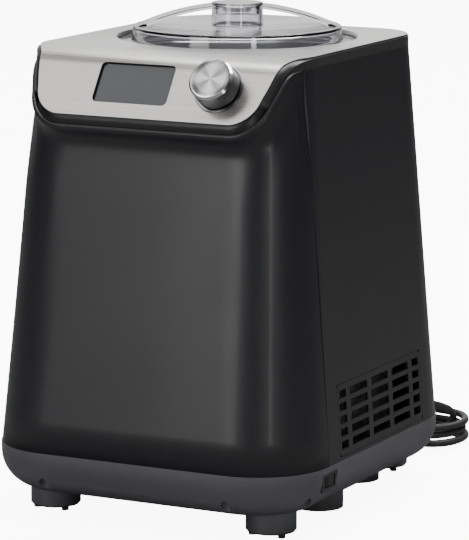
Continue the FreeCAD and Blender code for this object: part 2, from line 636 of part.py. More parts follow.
# ------------------------------------------------------------------ bucket, bowl and paddle
BUCKET_FLOOR = "well_floor - bucket_depth"
BOWL_FLOOR = BUCKET_FLOOR + " + bowl_lift_off"
b_out = "bucket_radius + bucket_wall"
bucket_profile = [
    ("11", "0"), (b_out + " - 6", "0"), (b_out, "6"), (b_out, "bucket_depth"),
    ("well_radius + deck_skin", "bucket_depth"), ("well_radius + deck_skin", "bucket_depth + bucket_wall"),
    ("bucket_radius", "bucket_depth + bucket_wall"), ("bucket_radius", "6.6"),
    ("bucket_radius - 5.4", "bucket_wall"), ("11", "bucket_wall")]
part("evaporator_bucket", lathe("evaporator_bucket", bucket_profile, "0", "well_y",
                                BUCKET_FLOOR + " - bucket_wall"))
rings = []
for k in range(7):
    ring = doc.addObject("Part::Torus", "coil_ring%d" % k)
    bind(ring, Radius1="bucket_radius + bucket_wall + coil_tube + 0.2", Radius2="coil_tube")
    rings.append(locate(ring, "0", "well_y", BUCKET_FLOOR + " + 8 + %d * coil_pitch" % k))
part("evaporator_coil", group("evaporator_coil", rings))
coil_out = "bucket_radius + bucket_wall + 2 * coil_tube + 0.8"
foam_profile = [
    ("14", "0"), ("foam_radius", "0"), ("foam_radius", "well_floor - foam_floor - bucket_wall - 1"),
    (coil_out, "well_floor - foam_floor - bucket_wall - 1"),
    (coil_out, "well_floor - bucket_depth - bucket_wall - foam_floor - 0.5"),
    ("14", "well_floor - bucket_depth - bucket_wall - foam_floor - 0.5")]
PIPE_X = "59.6"
PIPE_Y = "well_y + 59.6"
foam_blank = lathe("foam_blank", foam_profile, "0", "well_y", "foam_floor")
foam_holes = [cylinder("foam_hole%d" % k, "4.4", "30", s + PIPE_X, PIPE_Y, "foam_floor - 2")
              for k, s in enumerate(("", "-"))]
part("insulation", cut("insulation", foam_blank, foam_holes))

bowl_out = "bucket_radius - bowl_gap"
bowl_in = "bucket_radius - bowl_gap - bowl_wall"
bowl_depth = "(rim_level - (%s))" % BOWL_FLOOR
bowl_profile = [
    ("tube_radius", "0"), (bowl_out + " - 6", "0"), (bowl_out, "6"), (bowl_out, bowl_depth + " - 2"),
    (bowl_out + " + 2.6", bowl_depth + " - 2"), (bowl_out + " + 2.6", bowl_depth), (bowl_in, bowl_depth),
    (bowl_in, "6.6"), (bowl_in + " - 5.4", "bowl_wall"), ("tube_radius + bowl_wall", "bowl_wall"),
    ("tube_radius + bowl_wall", "tube_height"), ("tube_radius", "tube_height")]
bowl_turned = lathe("bowl_turned", bowl_profile, "0", "well_y", BOWL_FLOOR)
ears = [block("bowl_ear%d" % k, "6.2", "8", "5.2", "%s(%s + 2.3)" % (s, bowl_out), "well_y",
              "well_floor + 0.4") for k, s in enumerate(("", "-"))]
ear_holes = tip(doc.addObject("Part::Cylinder", "ear_hole"), "90")
ear_holes.Placement = FreeCAD.Placement(Vector(0, 0, 0), FreeCAD.Rotation(Vector(0, 1, 0), 90))
bind(ear_holes, Radius="bail_wire + run_gap", Height="2 * well_radius")
locate(ear_holes, "-well_radius", "well_y", "bail_level")
bowl_keep = cylinder("bowl_keep", bowl_out + " - 0.1", "300", "0", "well_y", "100")
ear_cut = cut("ear_cut", ear_holes, [bowl_keep])
bowl_ears = cut("bowl_ears", group("ear_pair", ears), [bowl_keep, ear_cut])
part("bowl", fuse("bowl", [bowl_turned, cut("ear_blocks", bowl_ears, [cylinder(
    "ear_keep", bowl_out, "300", "0", "well_y", "100")])]))


def bail():
    """A round wire bent to a half ring, with its two ends turned in as pivots."""
    radius = size("well_radius") - size("bail_wire") - 2.2
    level = size("bail_level")
    centre = Vector(0, size("well_y"), level)
    wire_radius = size("bail_wire")
    inner = size(bowl_out) + 0.4
    arc = Part.Arc(centre + Vector(radius, 0, 0), centre + Vector(0, radius, 0), centre + Vector(-radius, 0, 0))
    ring = Part.Wire([arc.toShape()])
    circle = Part.Wire(Part.makeCircle(wire_radius, centre + Vector(radius, 0, 0), Vector(0, 1, 0)))
    half = ring.makePipeShell([circle], True, True)
    shape = half
    for hand in (1, -1):
        pin = Part.makeCylinder(wire_radius, radius - inner, centre + Vector(hand * inner, 0, 0), Vector(hand, 0, 0))
        knuckle = Part.makeSphere(wire_radius, centre + Vector(hand * radius, 0, 0))
        shape = shape.fuse(pin).fuse(knuckle)
    return shape.removeSplitter()


part("bowl_bail", feature("bowl_bail", bail()))

hub_out = "tube_radius + bowl_wall + 3.6"
hub_profile = [
    ("tube_radius + bowl_wall + 0.8", "0"), (hub_out, "0"), (hub_out + " - 1.5", "tube_height + 6"),
    ("7.5", "tube_height + 22"), ("0", "tube_height + 22"), ("0", "tube_height - 1.2"),
    ("tube_radius + bowl_wall + 0.8", "tube_height - 1.2")]
hub = lathe("paddle_hub", hub_profile, "0", "well_y", BOWL_FLOOR + " + bowl_wall + 1")
PADDLE_REACH = "(bucket_radius - bowl_gap - bowl_wall - 2.4)"
PADDLE_FLOOR = BOWL_FLOOR + " + bowl_wall + 1"
arms = [block("paddle_arm%d" % k, PADDLE_REACH + " - 16", "3", "10", "%s(%s + 6) / 2" % (s, PADDLE_REACH),
              "well_y", PADDLE_FLOOR) for k, s in enumerate(("", "-"))]
blades = [block("paddle_blade%d" % k, "8", "3", tall, "%s(%s - 4)" % (s, PADDLE_REACH), "well_y",
                PADDLE_FLOOR + " + 7") for k, (s, tall) in enumerate((("", "110"), ("-", "66")))]
rib = block("paddle_rib", PADDLE_REACH + " - 8", "3", "8", "(%s + 4) / 2" % PADDLE_REACH, "well_y",
            PADDLE_FLOOR + " + tube_height + 12")
rib_keep = cylinder("rib_keep", "tube_radius + bowl_wall + 0.8", "tube_height - 1.2", "0", "well_y", PADDLE_FLOOR)
socket = block("paddle_socket", "square_side + 2 * slip", "square_side + 2 * slip", "12", "0", "well_y",
               PADDLE_FLOOR + " + tube_height - 1.6")
paddle_solid = fuse("paddle_solid", [hub] + arms + blades + [rib])
part("paddle", cut("paddle", paddle_solid, [rib_keep, socket]))

# ------------------------------------------------------------------ lid
LID_SEAT = "rim_level + 0.4"
skirt_out = "bucket_radius - bowl_gap - bowl_wall - 1.6"
deck_rise = "(lid_deck - rim_level - 0.4)"
chute_top = "arch_top - rim_level - 0.4 + 8"
cap_seat = "chute_radius - 0.8"
lid_profile = [
    (skirt_out + " - lid_gauge", "0"), (skirt_out, "0"), (skirt_out, "8"), ("lid_radius", "8"),
    ("lid_radius", "8 + lid_gauge"), ("lid_step", "8 + lid_gauge"), ("lid_step - 1", deck_rise + " + 8"),
    ("chute_radius", deck_rise + " + 8"), ("chute_radius", chute_top), (cap_seat, chute_top),
    (cap_seat, chute_top + " - cap_gauge - slip"), ("chute_radius - chute_wall", chute_top + " - cap_gauge - slip"),
    ("chute_radius - chute_wall", deck_rise + " + 8 - lid_gauge"),
    ("lid_step - 1 - lid_gauge", deck_rise + " + 8 - lid_gauge"), ("lid_step - lid_gauge", "8 + lid_gauge"),
    (skirt_out + " - lid_gauge", "8 + lid_gauge")]
lid_turned = lathe("lid_turned", lid_profile, "0", "well_y", LID_SEAT + " - 8")


def arch_bar():
    """The carrying arch over the lid: a shallow bow of flat section."""
    half = size("arch_half")
    foot = size("lid_deck") - 0.6
    crown = size("arch_top - arch_drop")
    gauge = size("lid_gauge")
    upper = Part.Arc(Vector(-half, 0, foot), Vector(0, 0, crown), Vector(half, 0, foot)).toShape()
    low_half = half - 7.0
    lower = Part.Arc(Vector(low_half, 0, foot), Vector(0, 0, crown - gauge), Vector(-low_half, 0, foot)).toShape()
    right = Part.LineSegment(Vector(half, 0, foot), Vector(low_half, 0, foot)).toShape()
    left = Part.LineSegment(Vector(-low_half, 0, foot), Vector(-half, 0, foot)).toShape()
    width = size("arch_width")
    bar = Part.Face(Part.Wire([upper, right, lower, left])).extrude(Vector(0, width, 0))
    bar.translate(Vector(0, -width / 2, 0))
    return bar


arch = feature("lid_arch", arch_bar())
arch.Placement = FreeCAD.Placement(Vector(0, size("well_y"), 0),
                                   FreeCAD.Rotation(Vector(0, 0, 1), size("arch_turn")))
chute_core = cylinder("chute_core", "chute_radius - 0.4", "60", "0", "well_y", "rim_level")
part("lid", fuse("lid", [lid_turned, cut("arch_halves", arch, [chute_core])]))
seal_profile = [(skirt_out + " + 0.1", "0"), (bowl_in + " - 0.5", "0"), (bowl_in + " - 0.5", "3"),
                (skirt_out + " + 0.1", "3")]
part("lid_seal", lathe("lid_seal", seal_profile, "0", "well_y", "rim_level - 5"))
cap_out = "chute_radius - chute_wall - slip"
cap_profile = [
    (cap_out + " - 1.8", "0"), (cap_out, "0"), (cap_out, "6.6"), (cap_seat + " - slip", "6.6"),
    (cap_seat + " - slip", "6.6 + cap_gauge"), ("0", "6.6 + cap_gauge"), ("0", "6.6"), (cap_out + " - 1.8", "6.6")]
part("filler_cap", lathe("filler_cap", cap_profile, "0", "well_y", "arch_top - cap_gauge - 6.6"))

# ------------------------------------------------------------------ gear drive
CASE_FLOOR = "deck_height + case_floor"
OUTPUT_GAP = "(output_teeth + pinion_teeth) * coarse_module / 2"
MOTOR_GAP = "(cluster_teeth + motor_teeth) * fine_module / 2"
CLUSTER_Y = "well_y - " + OUTPUT_GAP
MOTOR_Y = "well_y - %s - %s" % (OUTPUT_GAP, MOTOR_GAP)


def gear(name, teeth, module, bore, height, y, z, phase):
    """A spur gear with straight-flanked teeth and a little backlash, one tooth centred on phase."""
    count = int(round(size(teeth)))
    pitch = size(module) * count / 2
    tip_radius = pitch + 0.85 * size(module)
    root_radius = pitch - 1.1 * size(module)
    step = 2 * math.pi / count
    root_half = 0.30 * step
    pitch_half = 0.225 * step
    tip_half = 0.12 * step
    points = []
    for k in range(count):
        middle = phase + k * step
        for radius, angle in ((root_radius, -root_half), (pitch, -pitch_half), (tip_radius, -tip_half),
                              (tip_radius, tip_half), (pitch, pitch_half), (root_radius, root_half)):
            points.append(Vector(radius * math.cos(middle + angle), radius * math.sin(middle + angle), 0))
    points.append(points[0])
    wheel = Part.Face(Part.makePolygon(points)).extrude(Vector(0, 0, size(height)))
    if size(bore) > 0:
        wheel = wheel.cut(Part.makeCylinder(size(bore), size(height)))
    wheel.translate(Vector(0, size(y), size(z)))
    return feature(name, wheel)


ahead = -math.pi / 2
half_pinion = math.pi / size("pinion_teeth")
half_motor = math.pi / size("motor_teeth")
part("output_gear", gear("output_gear", "output_teeth", "coarse_module", "spindle_radius", "12", "well_y",
                         CASE_FLOOR + " + 21", ahead))
pinion = gear("cluster_pinion", "pinion_teeth", "coarse_module", "4 + run_gap", "19", CLUSTER_Y,
              CASE_FLOOR + " + 15", -ahead + half_pinion)
wheel = gear("cluster_wheel", "cluster_teeth", "fine_module", "4 + run_gap", "8", CLUSTER_Y,
             CASE_FLOOR + " + 7", ahead)
part("cluster_gear", fuse("cluster_gear", [pinion, wheel]))
part("motor_pinion", gear("motor_pinion", "motor_teeth", "fine_module", "stem_radius", "11", MOTOR_Y,
                          CASE_FLOOR + " + 5", -ahead + half_motor))
cluster_pin = cylinder("cluster_pin", "4", "case_top - deck_height - 1", "0", CLUSTER_Y, "deck_height + 1")

CASE_Y = "(well_y + 48 + (%s) - 20) / 2" % MOTOR_Y
CASE_LONG = "(well_y + 48 - (%s) + 20)" % MOTOR_Y
case_outer = plate("case_outer", "96", CASE_LONG, "30", "case_top - deck_height", "0", CASE_Y, "deck_height")
case_inner = plate("case_inner", "90", CASE_LONG + " - 6", "27", "case_top - deck_height", "0", CASE_Y,
                   CASE_FLOOR)
motor_way = cylinder("motor_way", "stem_radius + 0.4", "20", "0", MOTOR_Y, "deck_height - 5")
spindle_foot = cylinder("spindle_foot", "spindle_radius + run_gap", "20", "0", "well_y", "deck_height + 1")
foot_boss = cylinder("foot_boss", "11", "9", "0", "well_y", CASE_FLOOR + " - 1")
case_cup = fuse("case_cup", [cut("case_hollow", case_outer, [case_inner]), foot_boss, cluster_pin])
part("gearbox_case", cut("gearbox_case", case_cup, [motor_way, spindle_foot]))
cover_plate = plate("cover_plate", "96", CASE_LONG, "30", "3", "0", CASE_Y, "case_top")
cover_boss = cylinder("cover_boss", "12", "9", "0", "well_y", "case_top")
cover_way = cylinder("cover_way", "spindle_radius + run_gap", "30", "0", "well_y", "case_top - 5")
part("gearbox_cover", cut("gearbox_cover", fuse("cover_solid", [cover_plate, cover_boss]), [cover_way]))

SPINDLE_FOOT = "deck_height + 1.5"
SPINDLE_SHOULDER = BOWL_FLOOR + " + tube_height - 2"
round_part = cylinder("spindle_round", "spindle_radius", "(%s) - (%s)" % (SPINDLE_SHOULDER, SPINDLE_FOOT), "0",
                      "well_y", SPINDLE_FOOT)
square_part = block("spindle_square", "square_side", "square_side", "14", "0", "well_y",
                    SPINDLE_SHOULDER + " - 0.5")
part("drive_spindle", fuse("drive_spindle", [round_part, square_part]))
bush_profile = [("spindle_radius + run_gap", "0"), ("10.9", "0"), ("10.9", "10.5"),
                ("spindle_radius + run_gap", "10.5")]
part("spindle_bush", lathe("spindle_bush", bush_profile, "0", "well_y", BUCKET_FLOOR + " - 10.5"))
seal_ring = [("spindle_radius + run_gap", "0"), ("8.4", "0"), ("8.4", "3"), ("spindle_radius + run_gap", "3")]
part("spindle_seal", lathe("spindle_seal", seal_ring, "0", "well_y", BUCKET_FLOOR))

MOTOR_FOOT = "deck_height - deck_gauge - motor_length"
can_profile = [
    ("stem_radius + run_gap", "0"), ("motor_radius", "0"), ("motor_radius", "motor_length"),
    ("stem_radius + run_gap", "motor_length"), ("stem_radius + run_gap", "motor_length - 8"),
    ("17.6", "motor_length - 8"), ("17.6", "7"), ("stem_radius + run_gap", "7")]
part("motor_stator", lathe("motor_stator", can_profile, "0", MOTOR_Y, MOTOR_FOOT))
rotor_profile = [
    ("0", "0"), ("stem_radius", "0"), ("stem_radius", "12"), ("17", "12"), ("17", "motor_length - 5"),
    ("stem_radius", "motor_length - 5"), ("stem_radius", "motor_length + 26"), ("0", "motor_length + 26")]
part("motor_rotor", lathe("motor_rotor", rotor_profile, "0", MOTOR_Y, MOTOR_FOOT + " - 4"))

deck_sheet = plate("deck_sheet", "136", "204", "12", "deck_gauge", "0", "3", "deck_height - deck_gauge")
deck_holes = [cylinder("rotor_hole", "9", "10", "0", MOTOR_Y, "deck_height - 5"),
              cylinder("suction_hole", "5.5", "10", PIPE_X, PIPE_Y, "deck_height - 5")]
drilled_deck = cut("drilled_deck", deck_sheet, deck_holes)
posts = [cylinder("post%d" % k, "5", "deck_height - deck_gauge - base_underside - base_wall", x, y,
                  "base_underside + base_wall") for k, (x, y) in enumerate(POSTS)]
part("support_frame", fuse("support_frame", [drilled_deck] + posts))

# ------------------------------------------------------------------ compressor
pot_profile = [
    ("0", "0"), ("pot_radius - 8", "0"), ("pot_radius", "8"), ("pot_radius", "pot_top - pot_bottom - 16"),
    ("pot_radius - 3", "pot_top - pot_bottom - 9"), ("pot_radius - 14", "pot_top - pot_bottom - 3"),
    ("pot_radius - 30", "pot_top - pot_bottom"), ("0", "pot_top - pot_bottom")]
part("compressor", lathe("compressor", pot_profile, "0", "pot_y", "pot_bottom"))
foot_points = [("-mount_front_x - 9", "mount_front_y - 9"), ("mount_front_x + 9", "mount_front_y - 9"),
               ("mount_rear_x + 9", "mount_rear_y + 9"), ("-mount_rear_x - 9", "mount_rear_y + 9")]
foot_sheet = slab("foot_sheet", foot_points, "2.5", "0", "0", "pot_bottom - 2.5")
foot_bores = [cylinder("foot_bore%d" % k, "4.3", "10", x, y, "pot_bottom - 6") for k, (x, y) in enumerate(POT_MOUNTS)]
part("compressor_plate", cut("compressor_plate", foot_sheet, foot_bores))
PLATE_UNDER = "pot_bottom - 2.5 - base_underside - base_wall"
grommets = []
studs = []
for index, (x, y) in enumerate(POT_MOUNTS):
    outer = cylinder("grommet_outer%d" % index, "8", PLATE_UNDER, x, y, "base_underside + base_wall")
    inner = cylinder("grommet_inner%d" % index, "3.1", "30", x, y, "base_underside")
    grommets.append(cut("grommet%d" % index, outer, [inner]))
    shaft = cylinder("stud_shaft%d" % index, "3", PLATE_UNDER + " + 7", x, y, "base_underside + base_wall")
    nut = cylinder("stud_nut%d" % index, "5.5", "3", x, y, "pot_bottom")
    studs.append(fuse("stud%d" % index, [shaft, nut]))
part("compressor_grommets", group("compressor_grommets", grommets))
part("mount_studs", group("mount_studs", studs))

# ------------------------------------------------------------------ condenser, fan and pipes
pass_x = size("condenser_x")
pass_low = size("condenser_bottom") + 6.0
pass_front = -50.0
pass_back = 66.0
u_turn = size("pass_pitch") / 2 - 0.01
serpentine = []
for k in range(6):
    level = pass_low + k * size("pass_pitch")
    ends = [(pass_x, pass_back, level), (pass_x, pass_front, level)]
    serpentine += ends if k % 2 == 0 else ends[::-1]
serpentine_tube, _ = tube("condenser_tube", serpentine, size("pipe_radius"), u_turn)
part("condenser_tube", serpentine_tube)
FIN_COUNT = 24
fins = []
fin = Part.makeBox(size("condenser_depth"), size("fin_gauge"), 68.0,
                   Vector(pass_x - size("condenser_depth") / 2, pass_front + 9.0, size("condenser_bottom")))
for k in range(6):
    level = pass_low + k * size("pass_pitch")
    fin = fin.cut(Part.makeCylinder(size("pipe_radius"), 10, Vector(pass_x, pass_front + 5, level), Vector(0, 1, 0)))
for k in range(FIN_COUNT):
    fins.append(fin.translated(Vector(0, k * size("fin_gap"), 0)))
part("condenser_fins", feature("condenser_fins", Part.makeCompound(fins)))

fan_low = "fan_level - fan_side / 2"
fan_block = block("fan_block", "fan_depth", "fan_side", "fan_side", "fan_x + fan_depth / 2", "fan_y", fan_low)


def across(name, radius, length, x, y, z):
    """A cylinder lying along X."""
    thing = doc.addObject("Part::Cylinder", name)
    thing.Placement = FreeCAD.Placement(Vector(0, 0, 0), FreeCAD.Rotation(Vector(0, 1, 0), 90))
    bind(thing, Radius=radius, Height=length)
    return locate(thing, x, y, z)


fan_duct = across("fan_duct", "fan_side / 2 - 2", "fan_depth + 10", "fan_x - 5", "fan_y", "fan_level")
fan_ring = cut("fan_ring", fan_block, [fan_duct])
strut_one = block("fan_strut_one", "3", "fan_side - 2", "5", "fan_x + 1.5", "fan_y", "fan_level - 2.5")
strut_two = block("fan_strut_two", "3", "5", "fan_side - 2", "fan_x + 1.5", "fan_y", fan_low + " + 1")
fan_motor = across("fan_motor", "15", "5", "fan_x", "fan_y", "fan_level")
fan_axle = across("fan_axle", "2", "17", "fan_x + 4", "fan_y", "fan_level")
part("fan_frame", fuse("fan_frame", [fan_ring, strut_one, strut_two, fan_motor, fan_axle]))


def fan_blades():
    """Seven slanted blades standing on a hub that turns about X."""
    hub_radius = 16.0
    blade_tip = size("fan_side / 2 - 2") - 1.5
    centre = Vector(size("fan_x") + 6.0, size("fan_y"), size("fan_level"))
    along = Vector(1, 0, 0)
    shape = Part.makeCylinder(hub_radius, 16, centre, along)
    for k in range(7):
        vane = Part.makeBox(1.6, 17, blade_tip - 13, Vector(-0.8, -8.5, 13))
        vane.rotate(Vector(0, 0, 0), Vector(0, 0, 1), 52)
        vane.translate(Vector(8, 0, 0))
        vane.rotate(Vector(0, 0, 0), along, 360.0 / 7 * k)
        vane.translate(centre)
        shape = shape.fuse(vane)
    reach = Part.makeCylinder(blade_tip, 16, centre, along)
    bore = Part.makeCylinder(2.0 + size("run_gap"), 40, centre - Vector(5, 0, 0), along)
    return shape.common(reach).cut(bore)


part("fan_rotor", feature("fan_rotor", fan_blades()))

pass_top = pass_low + 5 * size("pass_pitch")
pot_y = size("pot_y")
pot_r = size("pot_radius")
pipe = size("pipe_radius")
start_x = 20.0
start_y = pot_y + math.sqrt(pot_r ** 2 - start_x ** 2) + 2.2
discharge, _ = tube("discharge_pipe", [(start_x, start_y, pass_top), (start_x, 108, pass_top),
                                       (pass_x, 108, pass_top), (pass_x, pass_back, pass_top)], pipe, 9)
part("discharge_pipe", discharge)
DRIER = (-78.0, 112.0)
drier_low = pass_low + 14.0
liquid, _ = tube("liquid_pipe", [(pass_x, pass_back, pass_low), (pass_x, DRIER[1], pass_low),
                                 (DRIER[0], DRIER[1], pass_low), (DRIER[0], DRIER[1], drier_low)], pipe, 9)
part("liquid_pipe", liquid)
drier_profile = [("0", "0"), ("4", "0"), ("9", "8"), ("9", "62"), ("4", "70"), ("0", "70")]
part("filter_drier", lathe("filter_drier", drier_profile, str(DRIER[0]), str(DRIER[1]), str(drier_low)))
pipe_x = size(PIPE_X)
pipe_y = size(PIPE_Y)
pipe_top = size(BUCKET_FLOOR) + 3.4
capillary, _ = tube("capillary_tube", [(DRIER[0], DRIER[1], drier_low + 70), (DRIER[0], DRIER[1], 150),
                                       (-pipe_x, pipe_y, 150), (-pipe_x, pipe_y, pipe_top)], 1.4, 6)
part("capillary_tube", capillary)
inlet_way = Vector(pipe_x, pipe_y - pot_y, 0).normalize() * (pot_r + 0.3)
suction, _ = tube("suction_pipe", [(pipe_x, pipe_y, pipe_top), (pipe_x, pipe_y, 66),
                                   (inlet_way.x, pot_y + inlet_way.y, 66)], pipe + 1, 9)
part("suction_pipe", suction)

bracket_wall = block("bracket_wall", "1.5", "58", "98", "-103", "32", "base_underside + base_wall")
bracket_foot = block("bracket_foot", "9", "58", "1.5", "-99.2", "32", "base_underside + base_wall")
part("board_bracket", fuse("board_bracket", [bracket_wall, bracket_foot]))
power_plate = block("power_plate", "1.6", "90", "66", "-98.4", "24", "54")
power_bits = [block("power_bit%d" % k, deep, wide, tall, "-97.6 + (%s) / 2" % deep, y, z)
              for k, (deep, wide, tall, y, z) in enumerate(
                  [("18", "26", "22", "-2", "60"), ("14", "14", "18", "26", "60"),
                   ("20", "12", "24", "50", "62"), ("10", "30", "12", "22", "94")])]
stand_offs = [block("stand_off%d" % k, "3.05", "6", "6", "-100.725", y, z)
              for k, (y, z) in enumerate([("8", "58"), ("56", "58"), ("8", "110"), ("56", "110")])]
part("power_board", fuse("power_board", [power_plate] + power_bits + stand_offs))

# ------------------------------------------------------------------ power switch
bezel_x = "base_width / 2 - 8.6"
bezel_block = block("bezel_block", "16", "switch_width", "switch_height", bezel_x, "switch_y",
                    "switch_level - switch_height / 2")
bezel_room = block("bezel_room", "11", "switch_width - 4.4", "switch_height - 4.4", "base_width / 2 - 5.2",
                   "switch_y", "switch_level - switch_height / 2 + 2.2")
ROCKER_X = "base_width / 2 - 6.4"
PIN_LONG = "switch_height - 2.6"
pin_way = cylinder("pin_way", "pin_radius + run_gap", PIN_LONG + " + 0.4", ROCKER_X, "switch_y",
                   "switch_level - (%s) / 2 - 0.2" % PIN_LONG)
part("switch_bezel", cut("switch_bezel", bezel_block, [bezel_room, pin_way]))
rocker_body = new_body("rocker_moulding")
rocker_outline = sketch_on(rocker_body, "rocker_outline", "XY_Plane", "-switch_height / 2 + 2.6")
draw_outline(rocker_outline, [("-3", "-3"), ("3", "-8.1"), ("4.4", "-8.1"), ("5.2", "0"), ("4.4", "8.1"),
                              ("3", "8.1"), ("-3", "3")])
pad(rocker_body, rocker_outline, "rocker_pad", "switch_height - 5.2")
rocker_pin = cylinder("rocker_pin", "pin_radius", PIN_LONG, "0", "0", "-(%s) / 2" % PIN_LONG)
rocker = fuse("power_rocker", [rocker_body, rocker_pin])
rocker.Placement = FreeCAD.Placement(Vector(0, 0, 0), FreeCAD.Rotation(Vector(0, 0, 1), -7))
part("power_rocker", locate(rocker, ROCKER_X, "switch_y", "switch_level"))

# ------------------------------------------------------------------ mains lead
gland_profile = [
    ("lead_diameter / 2 + 0.02", "0"), ("8", "0"), ("8", "2.4"), ("6.3", "2.4"), ("6.3", "10.8"), ("7.6", "10.8"),
    ("7.6", "13"), ("5.6", "14.5"), ("4.2", "gland_length + 16"), ("lead_diameter / 2 + 0.02", "gland_length + 16")]
gland = lathe("cord_gland", gland_profile)
gland.Placement = FreeCAD.Placement(Vector(0, 0, 0), FreeCAD.Rotation(Vector(1, 0, 0), -90))
part("cord_gland", locate(gland, "gland_x", "base_depth / 2 - 10.5", "gland_level"))

lead = size("lead_diameter")
exit_y = size("base_depth / 2 - 10.5 + gland_length + 16")
LEAD_POINTS = [
    (size("gland_x"), exit_y, size("gland_level")), (85.5, 194.5, 41.0), (92.0, 209.0, 36.0), (96.0, 224.0, 30.9),
]
lead_tube, lead_radii = tube("mains_lead", LEAD_POINTS, lead / 2)
part("mains_lead", lead_tube)
print("mains lead radii:", " ".join("%.1f" % radius for radius in lead_radii))
hank = plate("mains_lead_hank", "hank_length", "hank_width", "hank_width / 2 - 0.1", "hank_height",
             "hank_x", "hank_y", "0")
part("mains_lead_hank", hank)
PLUG_LEAN = 96.3
plug_turned = lathe("plug_turned", [
    ("0", "0"), ("3.4", "0"), ("5.2", "16"), ("9", "20"), ("16.5", "27"), ("18", "30"), ("18", "52"),
    ("17", "53"), ("0", "53")])
pins = [cylinder("plug_pin%d" % k, "2.4", "20", "0", side, "52") for k, side in enumerate(("9.5", "-9.5"))]
plug = fuse("plug", [plug_turned] + pins)
plug.Placement = FreeCAD.Placement(Vector(0, 0, 0), FreeCAD.Rotation(Vector(0, 1, 0), -PLUG_LEAN))
part("plug", locate(plug, "hank_x - hank_length / 2", "hank_y", "plug_level"))

# ------------------------------------------------------------------ check and write
doc.recompute()
for thing in doc.Objects:
    if "Invalid" in thing.State or "Error" in thing.State:
        raise RuntimeError("%s failed: %s" % (thing.Label, thing.State))
for thing in NODES:
    if thing.Shape.isNull() or not thing.Shape.isValid():
        raise RuntimeError("%s has no valid shape" % thing.Label)
    if thing.Shape.Volume <= 0:
        raise RuntimeError("%s is empty" % thing.Label)
    print("%-22s solids %2d volume %10.1f" % (thing.Label, len(thing.Shape.Solids), thing.Shape.Volume))
    thing.Shape.exportStep("parts/%s.step" % thing.Label)
print("%d sub-parts" % len(NODES))
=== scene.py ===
import logging
import math
from dataclasses import dataclass
from enum import Enum
from typing import Callable, Iterable, Optional, Sequence

import bmesh
import bpy
from mathutils import Matrix, Vector


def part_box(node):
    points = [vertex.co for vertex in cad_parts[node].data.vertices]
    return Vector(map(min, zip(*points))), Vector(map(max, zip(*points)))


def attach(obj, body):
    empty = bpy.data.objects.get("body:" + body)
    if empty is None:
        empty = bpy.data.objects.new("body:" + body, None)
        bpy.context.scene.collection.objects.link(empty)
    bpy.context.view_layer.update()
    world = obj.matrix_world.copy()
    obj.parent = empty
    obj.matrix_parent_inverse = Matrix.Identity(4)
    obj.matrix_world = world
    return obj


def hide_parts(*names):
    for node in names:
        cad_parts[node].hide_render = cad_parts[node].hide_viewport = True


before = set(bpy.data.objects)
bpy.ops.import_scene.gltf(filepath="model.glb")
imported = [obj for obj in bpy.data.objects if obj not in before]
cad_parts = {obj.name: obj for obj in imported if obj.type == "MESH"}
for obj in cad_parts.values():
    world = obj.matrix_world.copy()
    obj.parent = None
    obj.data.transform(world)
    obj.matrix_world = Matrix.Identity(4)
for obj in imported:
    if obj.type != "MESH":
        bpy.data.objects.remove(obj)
LOG = logging.getLogger("ice_cream_maker")
Point = tuple[float, float, float]
Colour = tuple[float, float, float]
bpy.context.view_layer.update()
WELL_Y = 0.0237


# ---------------------------------------------------------------- node helpers
def feed(tree: bpy.types.NodeTree, socket: bpy.types.NodeSocket, value: object) -> None:
    """Link a socket to an input, or give the input a plain value.

    Args:
        tree: the tree that holds both.
        socket: the input.
        value: the socket that feeds it, or its value.
    """
    if isinstance(value, bpy.types.NodeSocket):
        tree.links.new(value, socket)
    else:
        socket.default_value = value


def add_node(tree: bpy.types.NodeTree, kind: str, inputs: dict, **settings: object) -> bpy.types.Node:
    """Add a shader node.

    Args:
        tree: the tree that takes it.
        kind: its type, without the leading "ShaderNode".
        inputs: names or numbers of inputs, each with its value or the socket that feeds it.
        settings: the node's own properties.

    Returns:
        The node.
    """
    made = tree.nodes.new(f"ShaderNode{kind}")
    for name, value in settings.items():
        setattr(made, name, value)
    for name, value in inputs.items():
        feed(tree, made.inputs[name], value)
    return made


def calculate(tree: bpy.types.NodeTree, operation: str, *values: object) -> bpy.types.NodeSocket:
    """The result of a Math node that takes some values or sockets."""
    return add_node(tree, "Math", dict(enumerate(values)), operation=operation).outputs[0]


def noise(tree: bpy.types.NodeTree, inputs: dict, **settings: object) -> bpy.types.NodeSocket:
    """The value of a Noise node."""
    return add_node(tree, "TexNoise", inputs, **settings).outputs["Fac"]


def mixed(tree: bpy.types.NodeTree, mask: bpy.types.NodeSocket, first: object, second: Colour
          ) -> bpy.types.NodeSocket:
    """Two colours mixed by a mask.

    Args:
        tree: the tree that mixes them.
        mask: the socket that chooses.
        first: a colour, or the socket of one, where the mask is low.
        second: the colour where the mask is high.

    Returns:
        The socket of the mixed colour.
    """
    low = (*first, 1.0) if isinstance(first, tuple) else first
    inputs = {"Factor": mask, "A": low, "B": (*second, 1.0)}
    return add_node(tree, "Mix", inputs, data_type="RGBA").outputs["Result"]


def blank_material(label: str) -> tuple[bpy.types.Material, bpy.types.NodeTree, bpy.types.Node]:
    """A new material.

    Args:
        label: its name.

    Returns:
        The material, its tree and its Principled shader.
    """
    material = bpy.data.materials.new(label)
    material.use_nodes = True
    return material, material.node_tree, material.node_tree.nodes["Principled BSDF"]


# ---------------------------------------------------------------- effects shared by the finishes
class Effect(Enum):
    """The surface effects that the finishes share."""

    GRAIN = "moulded grain"
    BRUSH = "brushed lines"
    # Turned rings, with painted highlight sectors in their mask.
    RINGS_PAINTED_SECTORS = "turned rings with painted sectors"
    WEAR = "edge wear"
    DUST = "settled dust"


